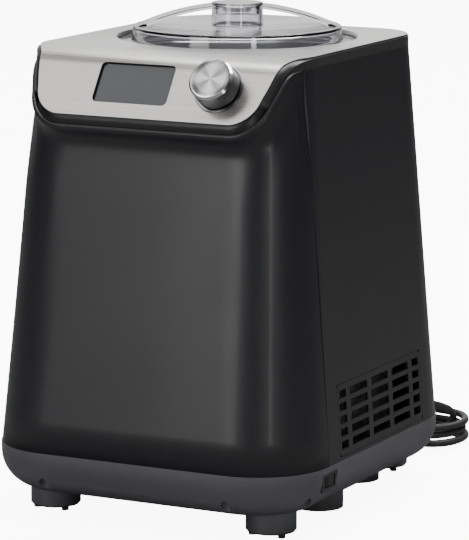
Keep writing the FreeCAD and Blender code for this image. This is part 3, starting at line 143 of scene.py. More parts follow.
class EffectGroups:
    """Builds each shared shader node group once."""

    def __init__(self) -> None:
        """Start with no groups."""
        self.made: dict[Effect, bpy.types.NodeTree] = {}

    def get(self, effect: Effect) -> bpy.types.NodeTree:
        """The node group of an effect.

        Args:
            effect: which effect is wanted.

        Returns:
            The group, built on first use.
        """
        if effect not in self.made:
            tree = bpy.data.node_groups.new(effect.value, "ShaderNodeTree")
            builder = {Effect.GRAIN: self._grain, Effect.BRUSH: self._brush, Effect.RINGS_PAINTED_SECTORS: self._rings_painted_sectors,
                       Effect.WEAR: self._wear, Effect.DUST: self._dust}[effect]
            builder(tree)
            self.made[effect] = tree
        return self.made[effect]

    @staticmethod
    def _sockets(tree: bpy.types.NodeTree, inputs: dict[str, float], outputs: Sequence[str]) -> tuple:
        """Give a group its named sockets.

        Args:
            tree: the group.
            inputs: names and default values.
            outputs: names.

        Returns:
            The sockets that bring values into the group, and those that take them out.
        """
        for name, value in inputs.items():
            tree.interface.new_socket(name, in_out="INPUT", socket_type="NodeSocketFloat").default_value = value
        for name in outputs:
            tree.interface.new_socket(name, in_out="OUTPUT", socket_type="NodeSocketFloat")
        return tree.nodes.new("NodeGroupInput").outputs, tree.nodes.new("NodeGroupOutput").inputs

    def _grain(self, tree: bpy.types.NodeTree) -> None:
        """Fine pits of a moulded or lacquered skin, with a slow cloud over them.

        Args:
            tree: the group to fill.
        """
        entry, end = self._sockets(tree, {"Scale": 900.0, "Cloud": 14.0}, ("Height", "Mask"))
        where = add_node(tree, "TexCoord", {}).outputs["Object"]
        fine = noise(tree, {"Vector": where, "Scale": entry["Scale"], "Detail": 3.0})
        slow = noise(tree, {"Vector": where, "Scale": entry["Cloud"]})
        fine_share = 0.35
        feed(tree, end["Height"], fine)
        feed(tree, end["Mask"], calculate(tree, "MULTIPLY_ADD", fine, fine_share, slow))

    def _brush(self, tree: bpy.types.NodeTree) -> None:
        """Long hairlines along X.

        Args:
            tree: the group to fill.
        """
        entry, end = self._sockets(tree, {"Scale": 1.0, "Length": 8.0, "Fineness": 1500.0}, ("Height", "Mask"))
        where = add_node(tree, "TexCoord", {}).outputs["Object"]
        fine = entry["Fineness"]
        stretch = add_node(tree, "CombineXYZ", {"X": entry["Length"], "Y": fine, "Z": fine}).outputs[0]
        scaled = add_node(tree, "VectorMath", {0: where, 1: stretch}, operation="MULTIPLY").outputs[0]
        lines = noise(tree, {"Vector": scaled, "Scale": entry["Scale"], "Detail": 4.0, "Roughness": 0.7})
        feed(tree, end["Height"], lines)
        feed(tree, end["Mask"], lines)

    def _rings_painted_sectors(self, tree: bpy.types.NodeTree) -> None:
        """Fine rings about Z, left by a turning tool, with painted highlight sectors added to their mask in place
        of the bright reflections that the rings throw.

        Args:
            tree: the group to fill.
        """
        entry, end = self._sockets(tree, {"Fineness": 2600.0, "Painted Sectors": 0.36, "Axis": -0.14}, ("Height", "Mask"))
        where = add_node(tree, "TexCoord", {}).outputs["Object"]
        flat = add_node(tree, "VectorMath", {0: where, 1: (1.0, 1.0, 0.0)}, operation="MULTIPLY").outputs[0]
        reach = add_node(tree, "VectorMath", {0: flat}, operation="LENGTH").outputs["Value"]
        rings = noise(tree, {"Scale": entry["Fineness"], "Detail": 2.0}, noise_dimensions="1D")
        feed(tree, rings.node.inputs["W"], reach)
        split = add_node(tree, "SeparateXYZ", {0: where}).outputs
        turn = calculate(tree, "ARCTAN2", split["Y"], split["X"])
        # Painted highlight: cosines of four and two times the angle about Z add fixed bright and dark wedges to
        # the mask, standing in for the rings' reflections.
        level = rings
        for times, painted_share in ((4.0, "Painted Sectors"), (2.0, "Axis")):
            wave = calculate(tree, "COSINE", calculate(tree, "MULTIPLY", turn, times))
            level = calculate(tree, "MULTIPLY_ADD", wave, entry[painted_share], level)
        feed(tree, end["Height"], rings)
        feed(tree, end["Mask"], level)

    def _wear(self, tree: bpy.types.NodeTree) -> None:
        """A mask that is high on convex edges, broken up by noise.

        Args:
            tree: the group to fill.
        """
        entry, end = self._sockets(tree, {"Start": 0.53, "End": 0.60}, ("Mask",))
        edge = add_node(tree, "NewGeometry", {}).outputs["Pointiness"]
        band = add_node(tree, "MapRange", {"Value": edge, "From Min": entry["Start"], "From Max": entry["End"]})
        broken = calculate(tree, "MULTIPLY", band.outputs["Result"], noise(tree, {"Scale": 260.0}))
        feed(tree, end["Mask"], broken)

    def _dust(self, tree: bpy.types.NodeTree) -> None:
        """A mask that is high on surfaces that face up.

        Args:
            tree: the group to fill.
        """
        entry, end = self._sockets(tree, {"Amount": 0.1}, ("Mask",))
        normal = add_node(tree, "NewGeometry", {}).outputs["Normal"]
        up = add_node(tree, "SeparateXYZ", {0: normal}).outputs["Z"]
        settled = calculate(tree, "MULTIPLY", up, noise(tree, {"Scale": 90.0, "Detail": 5.0}))
        settled.node.use_clamp = True
        feed(tree, end["Mask"], calculate(tree, "MULTIPLY", settled, entry["Amount"]))


EFFECTS = EffectGroups()


def placed(tree: bpy.types.NodeTree, effect: Effect, values: dict[str, float]) -> object:
    """The outputs of a shared effect, placed in a tree with its own values."""
    return add_node(tree, "Group", values, node_tree=EFFECTS.get(effect)).outputs


# ---------------------------------------------------------------- finishes
DUST_GREY: Colour = (0.5, 0.5, 0.5)
COAT_ROUGHNESS = 0.08


@dataclass(frozen=True)
class Finish:
    """A surface: two close colours that a pattern mixes, a roughness range and a bump."""

    name: str
    colour: Colour
    second: Colour
    rough: tuple[float, float] = (0.35, 0.5)
    metallic: float = 0.0
    pattern: Effect = Effect.GRAIN
    fineness: float = 900.0
    bump: float = 0.05
    bump_depth: float = 0.0002
    coat: float = 0.0
    anisotropy: float = 0.0
    wear: float = 0.0
    dust: float = 0.0
    spun: bool = False

    def material(self) -> bpy.types.Material:
        """The material, built on first use.

        Returns:
            The Blender material of this finish.
        """
        label = f"finish_{self.name}"
        found = bpy.data.materials.get(label)
        if found:
            return found
        material, tree, shader = blank_material(label)
        grain = self.pattern is Effect.GRAIN
        effect = placed(tree, self.pattern, {"Scale" if grain else "Fineness": self.fineness})
        # With the rings effect this mask carries painted highlight sectors, so this mix paints them into the
        # colour.
        colour = mixed(tree, effect["Mask"], self.colour, self.second)
        if self.wear:
            worn = tuple(min(1.0, c + self.wear) for c in self.colour)
            colour = mixed(tree, placed(tree, Effect.WEAR, {})["Mask"], colour, worn)
        if self.dust:
            colour = mixed(tree, placed(tree, Effect.DUST, {"Amount": self.dust})["Mask"], colour, DUST_GREY)
        rough = add_node(tree, "MapRange", {
            "Value": effect["Mask"], "From Min": 0.3, "From Max": 0.9 if grain else 0.7,
            "To Min": self.rough[0], "To Max": self.rough[1]})
        bump = add_node(tree, "Bump", {
            "Height": effect["Height"], "Strength": self.bump, "Distance": self.bump_depth})
        for name, value in {
                "Metallic": self.metallic, "Coat Weight": self.coat, "Coat Roughness": COAT_ROUGHNESS,
                "Anisotropic": self.anisotropy, "Base Color": colour, "Roughness": rough.outputs["Result"],
                "Normal": bump.outputs["Normal"]}.items():
            feed(tree, shader.inputs[name], value)
        if self.spun:
            tangent = add_node(tree, "Tangent", {}, direction_type="RADIAL", axis="Z")
            feed(tree, shader.inputs["Tangent"], tangent.outputs["Tangent"])
        return material


@dataclass(frozen=True)
class ClearFinish:
    """A clear moulded plastic with a faint tint and the slight haze of handling."""

    name: str
    tint: Colour
    rough: tuple[float, float] = (0.02, 0.08)
    ior: float = 1.49

    def material(self) -> bpy.types.Material:
        """The material, built on first use.

        Returns:
            The Blender material of this finish.
        """
        label = f"finish_{self.name}"
        found = bpy.data.materials.get(label)
        if found:
            return found
        material, tree, shader = blank_material(label)
        mask = placed(tree, Effect.GRAIN, {"Scale": 120.0})["Mask"]
        paler = tuple(min(1.0, c + 0.03) for c in self.tint)
        haze = add_node(tree, "MapRange", {"Value": mask, "To Min": self.rough[0], "To Max": self.rough[1]})
        for name, value in {
                "Transmission Weight": 1.0, "IOR": self.ior, "Base Color": mixed(tree, mask, self.tint, paler),
                "Roughness": haze.outputs["Result"]}.items():
            feed(tree, shader.inputs[name], value)
        return material


STEEL_SHEET = Finish("brushed_stainless", (0.46, 0.445, 0.435), (0.56, 0.545, 0.535), (0.24, 0.36), 1.0,
                     Effect.BRUSH, 1500.0, 0.10, 0.00005, anisotropy=0.5)
LACQUER = Finish("satin_anthracite", (0.0085, 0.0085, 0.0102), (0.0115, 0.0115, 0.0135), (0.34, 0.42), 0.15,
                 fineness=1600.0, bump=0.05, bump_depth=0.0001, coat=0.05, dust=0.005)
FRAME_BLACK = Finish("satin_black_frame", (0.0035, 0.0035, 0.004), (0.005, 0.005, 0.006), (0.30, 0.42),
                     fineness=1300.0, wear=0.02)
BASE_PLASTIC = Finish("dark_grey_base", (0.030, 0.030, 0.034), (0.040, 0.040, 0.045), (0.36, 0.5),
                      fineness=1100.0, bump=0.08, wear=0.03, dust=0.03)
FOOT_RUBBER = Finish("foot_rubber", (0.012, 0.012, 0.012), (0.02, 0.02, 0.02), (0.6, 0.8), bump=0.2)
CORD_RUBBER = Finish("cord_rubber", (0.010, 0.010, 0.011), (0.016, 0.016, 0.017), (0.38, 0.52), fineness=700.0)
PLUG_PLASTIC = Finish("plug_plastic", (0.012, 0.012, 0.012), (0.02, 0.02, 0.02), (0.4, 0.55), bump=0.15)
LENS_TINT = Finish("slate_lens", (0.014, 0.017, 0.021), (0.020, 0.023, 0.028), (0.12, 0.2), 0.0,
                   fineness=60.0, bump=0.01)
LCD_GREY = Finish("lcd_module", (0.10, 0.11, 0.12), (0.13, 0.14, 0.15), (0.2, 0.3))
# The dark first colour is painted shade and the pale second colour a painted highlight, mixed by the turned rings
# and by painted sectors that stand in for the face's conical reflections.
SPUN_PAINTED_SECTORS = Finish("spun_aluminium", (0.16, 0.16, 0.165), (0.88, 0.88, 0.88), (0.26, 0.34), 1.0, Effect.RINGS_PAINTED_SECTORS, 2600.0,
              bump=0.4, bump_depth=0.00005, anisotropy=0.8, spun=True)
BRIGHT_CHAMFER = Finish("bright_chamfer", (0.80, 0.80, 0.80), (0.86, 0.86, 0.86), (0.10, 0.16), 1.0,
                        fineness=500.0, bump=0.01)
DARK_CHROME = Finish("dark_chrome", (0.16, 0.16, 0.17), (0.2, 0.2, 0.21), (0.12, 0.2), 1.0, bump=0.01)
KNURL_DARK = Finish("knurled_side", (0.10, 0.10, 0.105), (0.16, 0.16, 0.165), (0.3, 0.42), 1.0)
BRIGHT_STEEL = Finish("bright_steel", (0.55, 0.55, 0.55), (0.62, 0.62, 0.62), (0.2, 0.3), 1.0, fineness=400.0)
ALUMINIUM = Finish("drawn_aluminium", (0.62, 0.62, 0.63), (0.72, 0.72, 0.73), (0.26, 0.38), 1.0, Effect.BRUSH)
COPPER = Finish("copper_tube", (0.62, 0.28, 0.17), (0.72, 0.36, 0.22), (0.25, 0.4), 1.0)
FOAM = Finish("expanded_foam", (0.75, 0.68, 0.5), (0.85, 0.8, 0.64), (0.8, 0.95), fineness=300.0, bump=0.6)
BOARD_GREEN = Finish("circuit_board", (0.02, 0.13, 0.05), (0.03, 0.2, 0.08), (0.3, 0.45))
ACETAL = Finish("acetal_gear", (0.75, 0.73, 0.66), (0.82, 0.8, 0.72), (0.4, 0.55))
BRONZE = Finish("sintered_bronze", (0.5, 0.33, 0.15), (0.6, 0.42, 0.2), (0.4, 0.55), 1.0)
ENAMEL = Finish("black_enamel", (0.02, 0.02, 0.02), (0.03, 0.03, 0.03), (0.2, 0.35), coat=0.3)
ZINC = Finish("zinc_plate", (0.5, 0.5, 0.48), (0.62, 0.62, 0.6), (0.3, 0.5), 1.0)
PADDLE_WHITE = Finish("food_plastic", (0.72, 0.72, 0.70), (0.8, 0.8, 0.78), (0.25, 0.38))
SILICONE = Finish("silicone_seal", (0.7, 0.7, 0.72), (0.78, 0.78, 0.8), (0.4, 0.55))
CLEAR_LID = ClearFinish("clear_lilac", (0.955, 0.95, 0.99))

CAD_FINISHES: dict[str, Finish] = {
    "base_tray": BASE_PLASTIC, "foot_cups": BASE_PLASTIC, "foot_pads": FOOT_RUBBER, "base_screws": ZINC,
    "rear_shell": LACQUER, "vent_grille_right": LACQUER, "vent_grille_left": LACQUER,
    "lcd_module": LCD_GREY, "control_board": BOARD_GREEN, "knob_stem": BRIGHT_STEEL, "encoder_rotor": ACETAL,
    "encoder": ZINC, "evaporator_bucket": ALUMINIUM, "evaporator_coil": COPPER, "insulation": FOAM,
    "bowl": ALUMINIUM, "bowl_bail": BRIGHT_STEEL, "paddle": PADDLE_WHITE, "lid_seal": SILICONE,
    "output_gear": ACETAL, "cluster_gear": ACETAL, "motor_pinion": BRONZE, "gearbox_case": ENAMEL,
    "gearbox_cover": ENAMEL, "drive_spindle": BRIGHT_STEEL, "spindle_bush": BRONZE, "spindle_seal": FOOT_RUBBER,
    "motor_stator": ZINC, "motor_rotor": BRIGHT_STEEL, "support_frame": ZINC, "compressor": ENAMEL,
    "compressor_plate": ENAMEL, "compressor_grommets": FOOT_RUBBER, "mount_studs": ZINC,
    "condenser_tube": COPPER, "condenser_fins": ALUMINIUM, "fan_frame": ENAMEL, "fan_rotor": ENAMEL,
    "discharge_pipe": COPPER, "liquid_pipe": COPPER, "filter_drier": COPPER, "capillary_tube": COPPER,
    "suction_pipe": COPPER, "board_bracket": ZINC, "power_board": BOARD_GREEN, "switch_bezel": FRAME_BLACK,
    "power_rocker": FRAME_BLACK}


# ---------------------------------------------------------------- mesh helpers
def piece(name: str, points: Sequence[Vector], faces: Sequence[Sequence[int]], angle: float = 35.0
          ) -> bpy.types.Object:
    """A mesh object in the scene, smooth but for its sharp edges.

    Args:
        name: the object's name.
        points: its vertices, in metres.
        faces: its faces, as indices of the vertices.
        angle: edges that turn more than this, in degrees, stay sharp.

    Returns:
        The object.
    """
    mesh = bpy.data.meshes.new(name)
    mesh.from_pydata([tuple(p) for p in points], [], [list(f) for f in faces])
    work = bmesh.new()
    work.from_mesh(mesh)
    bmesh.ops.remove_doubles(work, verts=work.verts, dist=1e-6)
    bmesh.ops.recalc_face_normals(work, faces=work.faces)
    work.to_mesh(mesh)
    work.free()
    smooth(mesh, angle)
    made = bpy.data.objects.new(name, mesh)
    bpy.context.scene.collection.objects.link(made)
    return made


def grid_faces(rows: int, columns: int, base: int = 0) -> list[list[int]]:
    """The faces of a grid of points.

    Args:
        rows: how many rows of points it has.
        columns: how many faces lie side by side in a row.
        base: the number of its first point.

    Returns:
        The faces, as indices of the points.
    """
    wide = columns + 1
    return [[a, a + 1, a + wide + 1, a + wide]
            for i in range(rows - 1) for a in range(base + i * wide, base + i * wide + columns)]


def band_faces(count: int) -> list[list[int]]:
    """The faces between two closed rings of points that follow each other."""
    return [[k, (k + 1) % count, count + (k + 1) % count, count + k] for k in range(count)]


def smooth(mesh: bpy.types.Mesh, angle: float) -> None:
    """Shade a mesh smooth, with the edges over an angle in degrees kept sharp."""
    mesh.polygons.foreach_set("use_smooth", [True] * len(mesh.polygons))
    mesh.set_sharp_from_angle(angle=math.radians(angle))


def soften(thing: bpy.types.Object, width: float, steps: int = 3, angle: float = 40.0) -> bpy.types.Object:
    """Round the sharp edges of a piece.

    Args:
        thing: the piece.
        width: the rounding's width in metres.
        steps: how many segments it has.
        angle: edges that turn more than this, in degrees, are rounded.

    Returns:
        The same piece.
    """
    bevel = thing.modifiers.new("rounding", "BEVEL")
    bevel.width = width
    bevel.segments = steps
    bevel.limit_method = "ANGLE"
    bevel.angle_limit = math.radians(angle)
    bevel.harden_normals = True
    return thing


def turned(name: str, profile: Sequence[tuple[float, float]], place: Matrix, steps: int = 128,
           flute: Optional[Callable[[float, float, float], float]] = None) -> bpy.types.Object:
    """A piece turned about the Z axis of a place.

    Args:
        name: the object's name.
        profile: (radius, height) pairs of a closed outline, or of one that starts and ends on the axis.
        place: where the turning axis stands.
        steps: how many segments the turn has.
        flute: changes a radius by the radius, height and angle, if given.

    Returns:
        The object.
    """
    points: list[Vector] = []
    for radius, height in profile:
        for k in range(steps):
            angle = 2 * math.pi * k / steps
            r = flute(radius, height, angle) if flute else radius
            points.append(place @ Vector((r * math.cos(angle), r * math.sin(angle), height)))
    closed = profile[0][0] > 1e-7 and profile[-1][0] > 1e-7
    rows = len(profile)
    faces = []
    for i in range(rows if closed else rows - 1):
        for k in range(steps):
            n = (k + 1) % steps
            j = (i + 1) % rows
            faces.append([i * steps + k, i * steps + n, j * steps + n, j * steps + k])
    return piece(name, points, faces)


def rounded(profile: Sequence[tuple[float, float]], radius: float, steps: int = 4) -> list[tuple[float, float]]:
    """An open outline with its corners rounded.

    Args:
        profile: the outline's points.
        radius: the largest radius; a corner takes what its sides allow.
        steps: segments in each corner.

    Returns:
        The outline with arcs in place of its corners.
    """
    made = [profile[0]]
    for before, here, after in zip(profile, profile[1:], profile[2:]):
        b, h, a = Vector(before), Vector(here), Vector(after)
        reach = min(radius, 0.45 * (h - b).length, 0.45 * (a - h).length)
        first, last = h + (b - h).normalized() * reach, h + (a - h).normalized() * reach
        for k in range(steps + 1):
            t = k / steps
            spot = first * (1 - t) ** 2 + h * (2 * t * (1 - t)) + last * t ** 2
            made.append((spot.x, spot.y))
    made.append(profile[-1])
    return made


def carve(thing: bpy.types.Object, cutters: Iterable[bpy.types.Object], join: bool = False) -> bpy.types.Object:
    """Cut pieces out of a piece, or join them to it, and drop them.

    Args:
        thing: the piece to change.
        cutters: what is cut away or joined.
        join: whether the others are joined instead.

    Returns:
        The changed piece.
    """
    for cutter in cutters:
        change = thing.modifiers.new("carve", "BOOLEAN")
        change.operation = "UNION" if join else "DIFFERENCE"
        change.solver = "EXACT"
        change.object = cutter
        bpy.context.view_layer.update()
        evaluated = thing.evaluated_get(bpy.context.evaluated_depsgraph_get())
        mesh = bpy.data.meshes.new_from_object(evaluated)
        thing.modifiers.remove(change)
        thing.data = mesh
        bpy.data.objects.remove(cutter)
    smooth(thing.data, 35.0)
    return thing


def finish_piece(thing: bpy.types.Object, finish: Finish, body: str, slot: str, *nodes: str) -> bpy.types.Object:
    """Dress a piece and place it in the frame.

    Args:
        thing: the piece.
        finish: its finish.
        body: the body that it moves with.
        slot: not used.
        nodes: the CAD nodes that it stands for.

    Returns:
        The same piece.
    """
    thing.data.materials.clear()
    thing.data.materials.append(finish.material())
    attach(thing, body)
    if nodes:
        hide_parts(*nodes)
    LOG.info("%s rides on %s", thing.name, body)
    return thing


# ---------------------------------------------------------------- the studio
@dataclass
class Studio:
    """Floor, lights, surroundings and camera."""

    camera_place: Point = (1.17983, -2.30279, 0.64003)
    azimuth: float = 26.93
    elevation: float = 10.22
    roll: float = 0.11
    focal_length: float = 229.76
    floor_size: float = 40.0
    floor_paint: Colour = (0.88, 0.88, 0.88)
    floor_gloss: float = 0.10
    floor_glow: float = 9.0
    sky_back: float = 1.25
    sky_above: float = 0.45
    sky_low: float = 0.03

    def build(self) -> None:
        """Make the whole studio."""
        self._camera()
        self._floor()
        self._surroundings()
        self._lamp("broad_front_left", (-0.62, -2.3, 0.45), (0.9, 1.7), 24.0)
        self._lamp("panel_light", (-1.3, -1.3, 2.0), (1.0, 1.2), 8.5)
        self._lamp("top_light", (0.3, 0.5, 2.6), (2.2, 2.2), 150.0)
        self._lamp("corner_strip", (1.9, -1.9, 0.5), (0.25, 1.4), 10.0)

    def _camera(self) -> None:
        """The camera, in front of the object, a little to its right and above its top."""
        data = bpy.data.cameras.new("camera")
        data.lens = self.focal_length
        data.sensor_width = 36.0
        data.clip_end = 100.0
        a, e, r = (math.radians(v) for v in (self.azimuth, self.elevation, self.roll))
        back = Vector((math.sin(a) * math.cos(e), -math.cos(a) * math.cos(e), math.sin(e)))
        side = Vector((math.cos(a), math.sin(a), 0))
        up = back.cross(side)
        right = side * math.cos(r) + up * math.sin(r)
        top = up * math.cos(r) - side * math.sin(r)
        camera = bpy.data.objects.new("camera", data)
        facing = Matrix((right, top, back)).transposed().to_4x4()
        camera.matrix_world = Matrix.Translation(self.camera_place) @ facing
        bpy.context.scene.collection.objects.link(camera)
        bpy.context.scene.camera = camera

    def _floor(self) -> None:
        """A plain pale floor."""
        half = self.floor_size / 2
        corners = [Vector((x, y, 0)) for x, y in ((-half, -half), (half, -half), (half, half), (-half, half))]
        floor = piece("floor", corners, [[0, 1, 2, 3]])
        floor.data.materials.append(self._floor_paint())

    def _floor_paint(self) -> bpy.types.Material:
        """Pale paint that glows to the camera and looks darker in the object's gloss.

        Returns:
            The floor's material.
        """
        material, tree, shader = blank_material("pale_floor")
        ray = add_node(tree, "LightPath", {}).outputs
        for name, value in {
                "Roughness": 0.8, "Emission Color": (1.0, 1.0, 1.0, 1.0),
                "Base Color": mixed(tree, ray["Is Glossy Ray"], self.floor_paint, (self.floor_gloss,) * 3),
                "Emission Strength": calculate(tree, "MULTIPLY", ray["Is Camera Ray"], self.floor_glow)}.items():
            feed(tree, shader.inputs[name], value)
        return material

    def _surroundings(self) -> None:
        """A room that is bright behind to the left and above and dark elsewhere, with a pale backdrop."""
        world = bpy.data.worlds.new("studio_surroundings")
        world.use_nodes = True
        tree = world.node_tree
        way = add_node(tree, "SeparateXYZ", {0: add_node(tree, "TexCoord", {}).outputs["Generated"]}).outputs

        def step(axis: str, low: float, high: float) -> bpy.types.NodeSocket:
            """A smooth step along one axis of the room.

            Args:
                axis: which axis.
                low: where it is 0.
                high: where it is 1.

            Returns:
                Its socket.
            """
            inputs = {"From Min": low, "From Max": high, "Value": way[axis]}
            return add_node(tree, "MapRange", inputs, interpolation_type="SMOOTHSTEP").outputs["Result"]

        back_left = calculate(tree, "MULTIPLY", step("X", 0.25, -0.35), step("Y", 0.0, 0.6))
        above = calculate(tree, "MULTIPLY", step("Z", 0.35, 0.9), self.sky_above)
        bright = calculate(tree, "MULTIPLY", back_left, self.sky_back)
        room = calculate(tree, "ADD", calculate(tree, "ADD", bright, above), self.sky_low)
        camera = add_node(tree, "LightPath", {}).outputs["Is Camera Ray"]
        seen = calculate(tree, "MULTIPLY", camera, self.floor_glow)
        background = tree.nodes["Background"].inputs
        feed(tree, background["Color"], (1.0, 1.0, 1.0, 1.0))
        feed(tree, background["Strength"], calculate(tree, "ADD", room, seen))
        bpy.context.scene.world = world

    @staticmethod
    def _lamp(name: str, place: Point, size: tuple[float, float], power: float) -> None:
        """A soft lamp that faces the object.

        Args:
            name: the lamp's name.
            place: where it stands.
            size: its width and height in metres.
            power: its power in watts.
        """
        data = bpy.data.lights.new(name, "AREA")
        data.shape = "RECTANGLE"
        data.size, data.size_y = size
        data.energy = power
        lamp = bpy.data.objects.new(name, data)
        aim = Vector((0, 0, 0.18)) - Vector(place)
        lamp.matrix_world = Matrix.Translation(place) @ aim.to_track_quat("-Z", "Y").to_matrix().to_4x4()
        bpy.context.scene.collection.objects.link(lamp)


# ---------------------------------------------------------------- mains lead
@dataclass
class MainsLead:
    """The lead from its strain relief to its plug, wound into a hank on the table.

    The hank's first turns lie inside the later ones: `tightening` diameters further in, until `inner_turns`.
    From `flat_turns` on, each turn climbs by `rise`.
    """

    diameter: float = 0.006
    exit: Point = (0.084, 0.1808, 0.042)
    middle_x: float = 0.040
    middle_y: float = 0.232
    half_long: float = 0.061
    half_wide: float = 0.030
    turns: float = 4.22
    per_turn: int = 16
    rise: float = 0.0064
    tail_level: float = 0.0242
    crossing: float = 0.3
    sway: float = 0.0014
    tightening: float = 1.1
    inner_turns: float = 0.6
    flat_turns: float = 1.6

    def route(self) -> list[Point]:
        """The way of the lead: round the hank's end, down to the table, up its turns and over to the plug.

        Returns:
            The curve's control points.
        """
        points: list[Point] = [self.exit, (0.0855, 0.1945, 0.041), (0.092, 0.209, 0.036), (0.0955, 0.2225, 0.0300),
                               (0.0920, 0.2360, 0.0200), (0.0830, 0.2460, 0.0105), (0.0680, 0.2510, 0.0050)]
        level = self.diameter / 2
        count = int(self.turns * self.per_turn)
        for k in range(4, count + 1):
            t = k / self.per_turn
            angle = 2 * math.pi * t
            drift = self.sway * math.sin(2.3 * t + 0.7)
            inward = self.diameter * self.tightening * max(0.0, 1.0 - max(0.0, t - self.inner_turns)) + drift
            long = self.half_long - inward
            wide = self.half_wide - inward * 0.8
            z = level + self.rise * max(0.0, t - self.flat_turns)
            swing = math.cos(angle)
            straight = (long - wide) * max(-1.0, min(1.0, swing / self.crossing))
            x = straight + wide * swing
            points.append((self.middle_x + x, self.middle_y + wide * math.sin(angle), z))
        tail_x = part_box("plug")[1][0]
        for dx, y, dz in ((0.050, 0.2570, -0.0015), (0.032, 0.2535, 0.0006), (0.018, 0.2450, 0.0010),
                          (0.009, 0.2355, 0.0004), (0.0, self.middle_y, 0.0)):
            points.append((tail_x + dx, y, self.tail_level + dz))
        return points

    def build(self) -> None:
        """Make the lead, its strain relief and its plug."""
        curve = bpy.data.curves.new("mains_lead_line", "CURVE")
        curve.dimensions = "3D"
        curve.bevel_depth = self.diameter / 2
        curve.bevel_resolution = 5
        curve.resolution_u = 6
        curve.use_fill_caps = True
        spline = curve.splines.new("NURBS")
        points = self.route()
        spline.points.add(len(points) - 1)
        for spot, place in zip(spline.points, points):
            spot.co = (*place, 1.0)
        spline.order_u = 3
        spline.use_endpoint_u = True
        lead = bpy.data.objects.new("mains_lead_line", curve)
        bpy.context.scene.collection.objects.link(lead)
        finish_piece(lead, CORD_RUBBER, "housing", "cord_black", "mains_lead", "mains_lead_hank")
        self._plug()
        self._relief()

    def _relief(self) -> bpy.types.Object:
        """The tapered strain relief with its ribs.

        Returns:
            The piece.
        """
        low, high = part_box("cord_gland")
        y = low[1]
        place = Matrix.Translation((self.exit[0], y, self.exit[2])) @ Matrix.Rotation(-math.pi / 2, 4, "X")
        length = high[1] - low[1]
        skin = self.diameter / 2 + 0.0001
        flange, neck, collar = 0.008, 0.0063, 0.0076
        profile = [(skin, 0.0), (flange, 0.0), (flange, 0.0024), (neck, 0.0024), (neck, 0.0108),
                   (collar, 0.0108), (collar, 0.013)]
        ribs = 6
        start, end = 0.0145, length
        for k in range(ribs):
            t0, t1 = k / ribs, (k + 0.62) / ribs
            r0 = 0.0058 - 0.0016 * t0
            z0, z1 = start + (end - start) * t0, start + (end - start) * t1
            profile += [(r0, z0), (r0 - 0.0002, z1), (r0 - 0.0013, z1 + 0.0002),
                        (r0 - 0.0014, start + (end - start) * (k + 0.97) / ribs)]
        profile += [(0.0042, end), (skin, end)]
        relief = turned("strain_relief", profile, place, 48)
        return finish_piece(relief, CORD_RUBBER, "housing", "rubber", "cord_gland")

    def _plug(self) -> bpy.types.Object:
        """The CAD plug in its finish.

        Returns:
            The plug.
        """
        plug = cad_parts["plug"]
        dress_node(plug, PLUG_PLASTIC)
        return plug


def dress_node(node: bpy.types.Object, finish: Finish) -> None:
    """Give a CAD node its finish."""
    node.data.materials.clear()
    node.data.materials.append(finish.material())


# ---------------------------------------------------------------- the sloping panel
@dataclass
class PanelPlane:
    """The control panel's own plane: across, up the slope, out of it."""

    foot_y: float = -0.131
    foot_z: float = 0.3055
    tilt: float = 34.0
    bend: float = 0.028
    deck: float = 0.3508

    def __post_init__(self) -> None:
        """Work out where the sheet bends over to the deck."""
        t = math.radians(self.tilt)
        self.up = Vector((0, math.sin(t), math.cos(t)))
        self.out = Vector((0, -math.cos(t), math.sin(t)))
        self.crease = (self.deck - self.foot_z) / math.cos(t)
        turn = math.pi / 2 - t
        self.reach = self.bend * math.tan(turn / 2)
        self.turn = turn
        self.slope_end = self.crease - self.reach
        self.bend_end = self.slope_end + self.bend * turn

    def at(self, x: float, up: float, out: float = 0.0) -> Vector:
        """A place on the flat slope."""
        return Vector((x, self.foot_y, self.foot_z)) + self.up * up + self.out * out

    def matrix(self, x: float, up: float, out: float = 0.0) -> Matrix:
        """A place whose Z leaves the slope."""
        axes = Matrix((Vector((1, 0, 0)), self.up, self.out)).transposed().to_4x4()
        return Matrix.Translation(self.at(x, up, out)) @ axes

    def along(self, x: float, s: float, depth: float = 0.0) -> Vector:
        """A place on the bent sheet by its developed length.

        Args:
            x: across.
            s: developed length from the slope's foot.
            depth: how far below the outer face.

        Returns:
            The place.
        """
        if s <= self.slope_end:
            return self.at(x, s, -depth)
        enter = self.at(x, self.slope_end)
        centre = enter - self.out * self.bend
        if s >= self.bend_end:
            leave = centre + Vector((0, 0, self.bend))
            return leave + Vector((0, s - self.bend_end, -depth))
        angle = (s - self.slope_end) / self.bend
        way = self.out * math.cos(angle) + self.up * math.sin(angle)
        return centre + way * (self.bend - depth)

    def length_at(self, y: float) -> float:
        """The developed length where the deck reaches a y."""
        leave = self.along(0.0, self.bend_end)
        return self.bend_end + y - leave.y


PANEL = PanelPlane()


def blend_value(rows: Sequence[tuple[float, float]], s: float) -> float:
    """A value between listed ones.

    Args:
        rows: (place, value) pairs in order.
        s: the place.

    Returns:
        The value there.
    """
    if s <= rows[0][0]:
        return rows[0][1]
    for (a, va), (b, vb) in zip(rows, rows[1:]):
        if s <= b:
            t = (s - a) / (b - a)
            return va + (vb - va) * t
    return rows[-1][1]


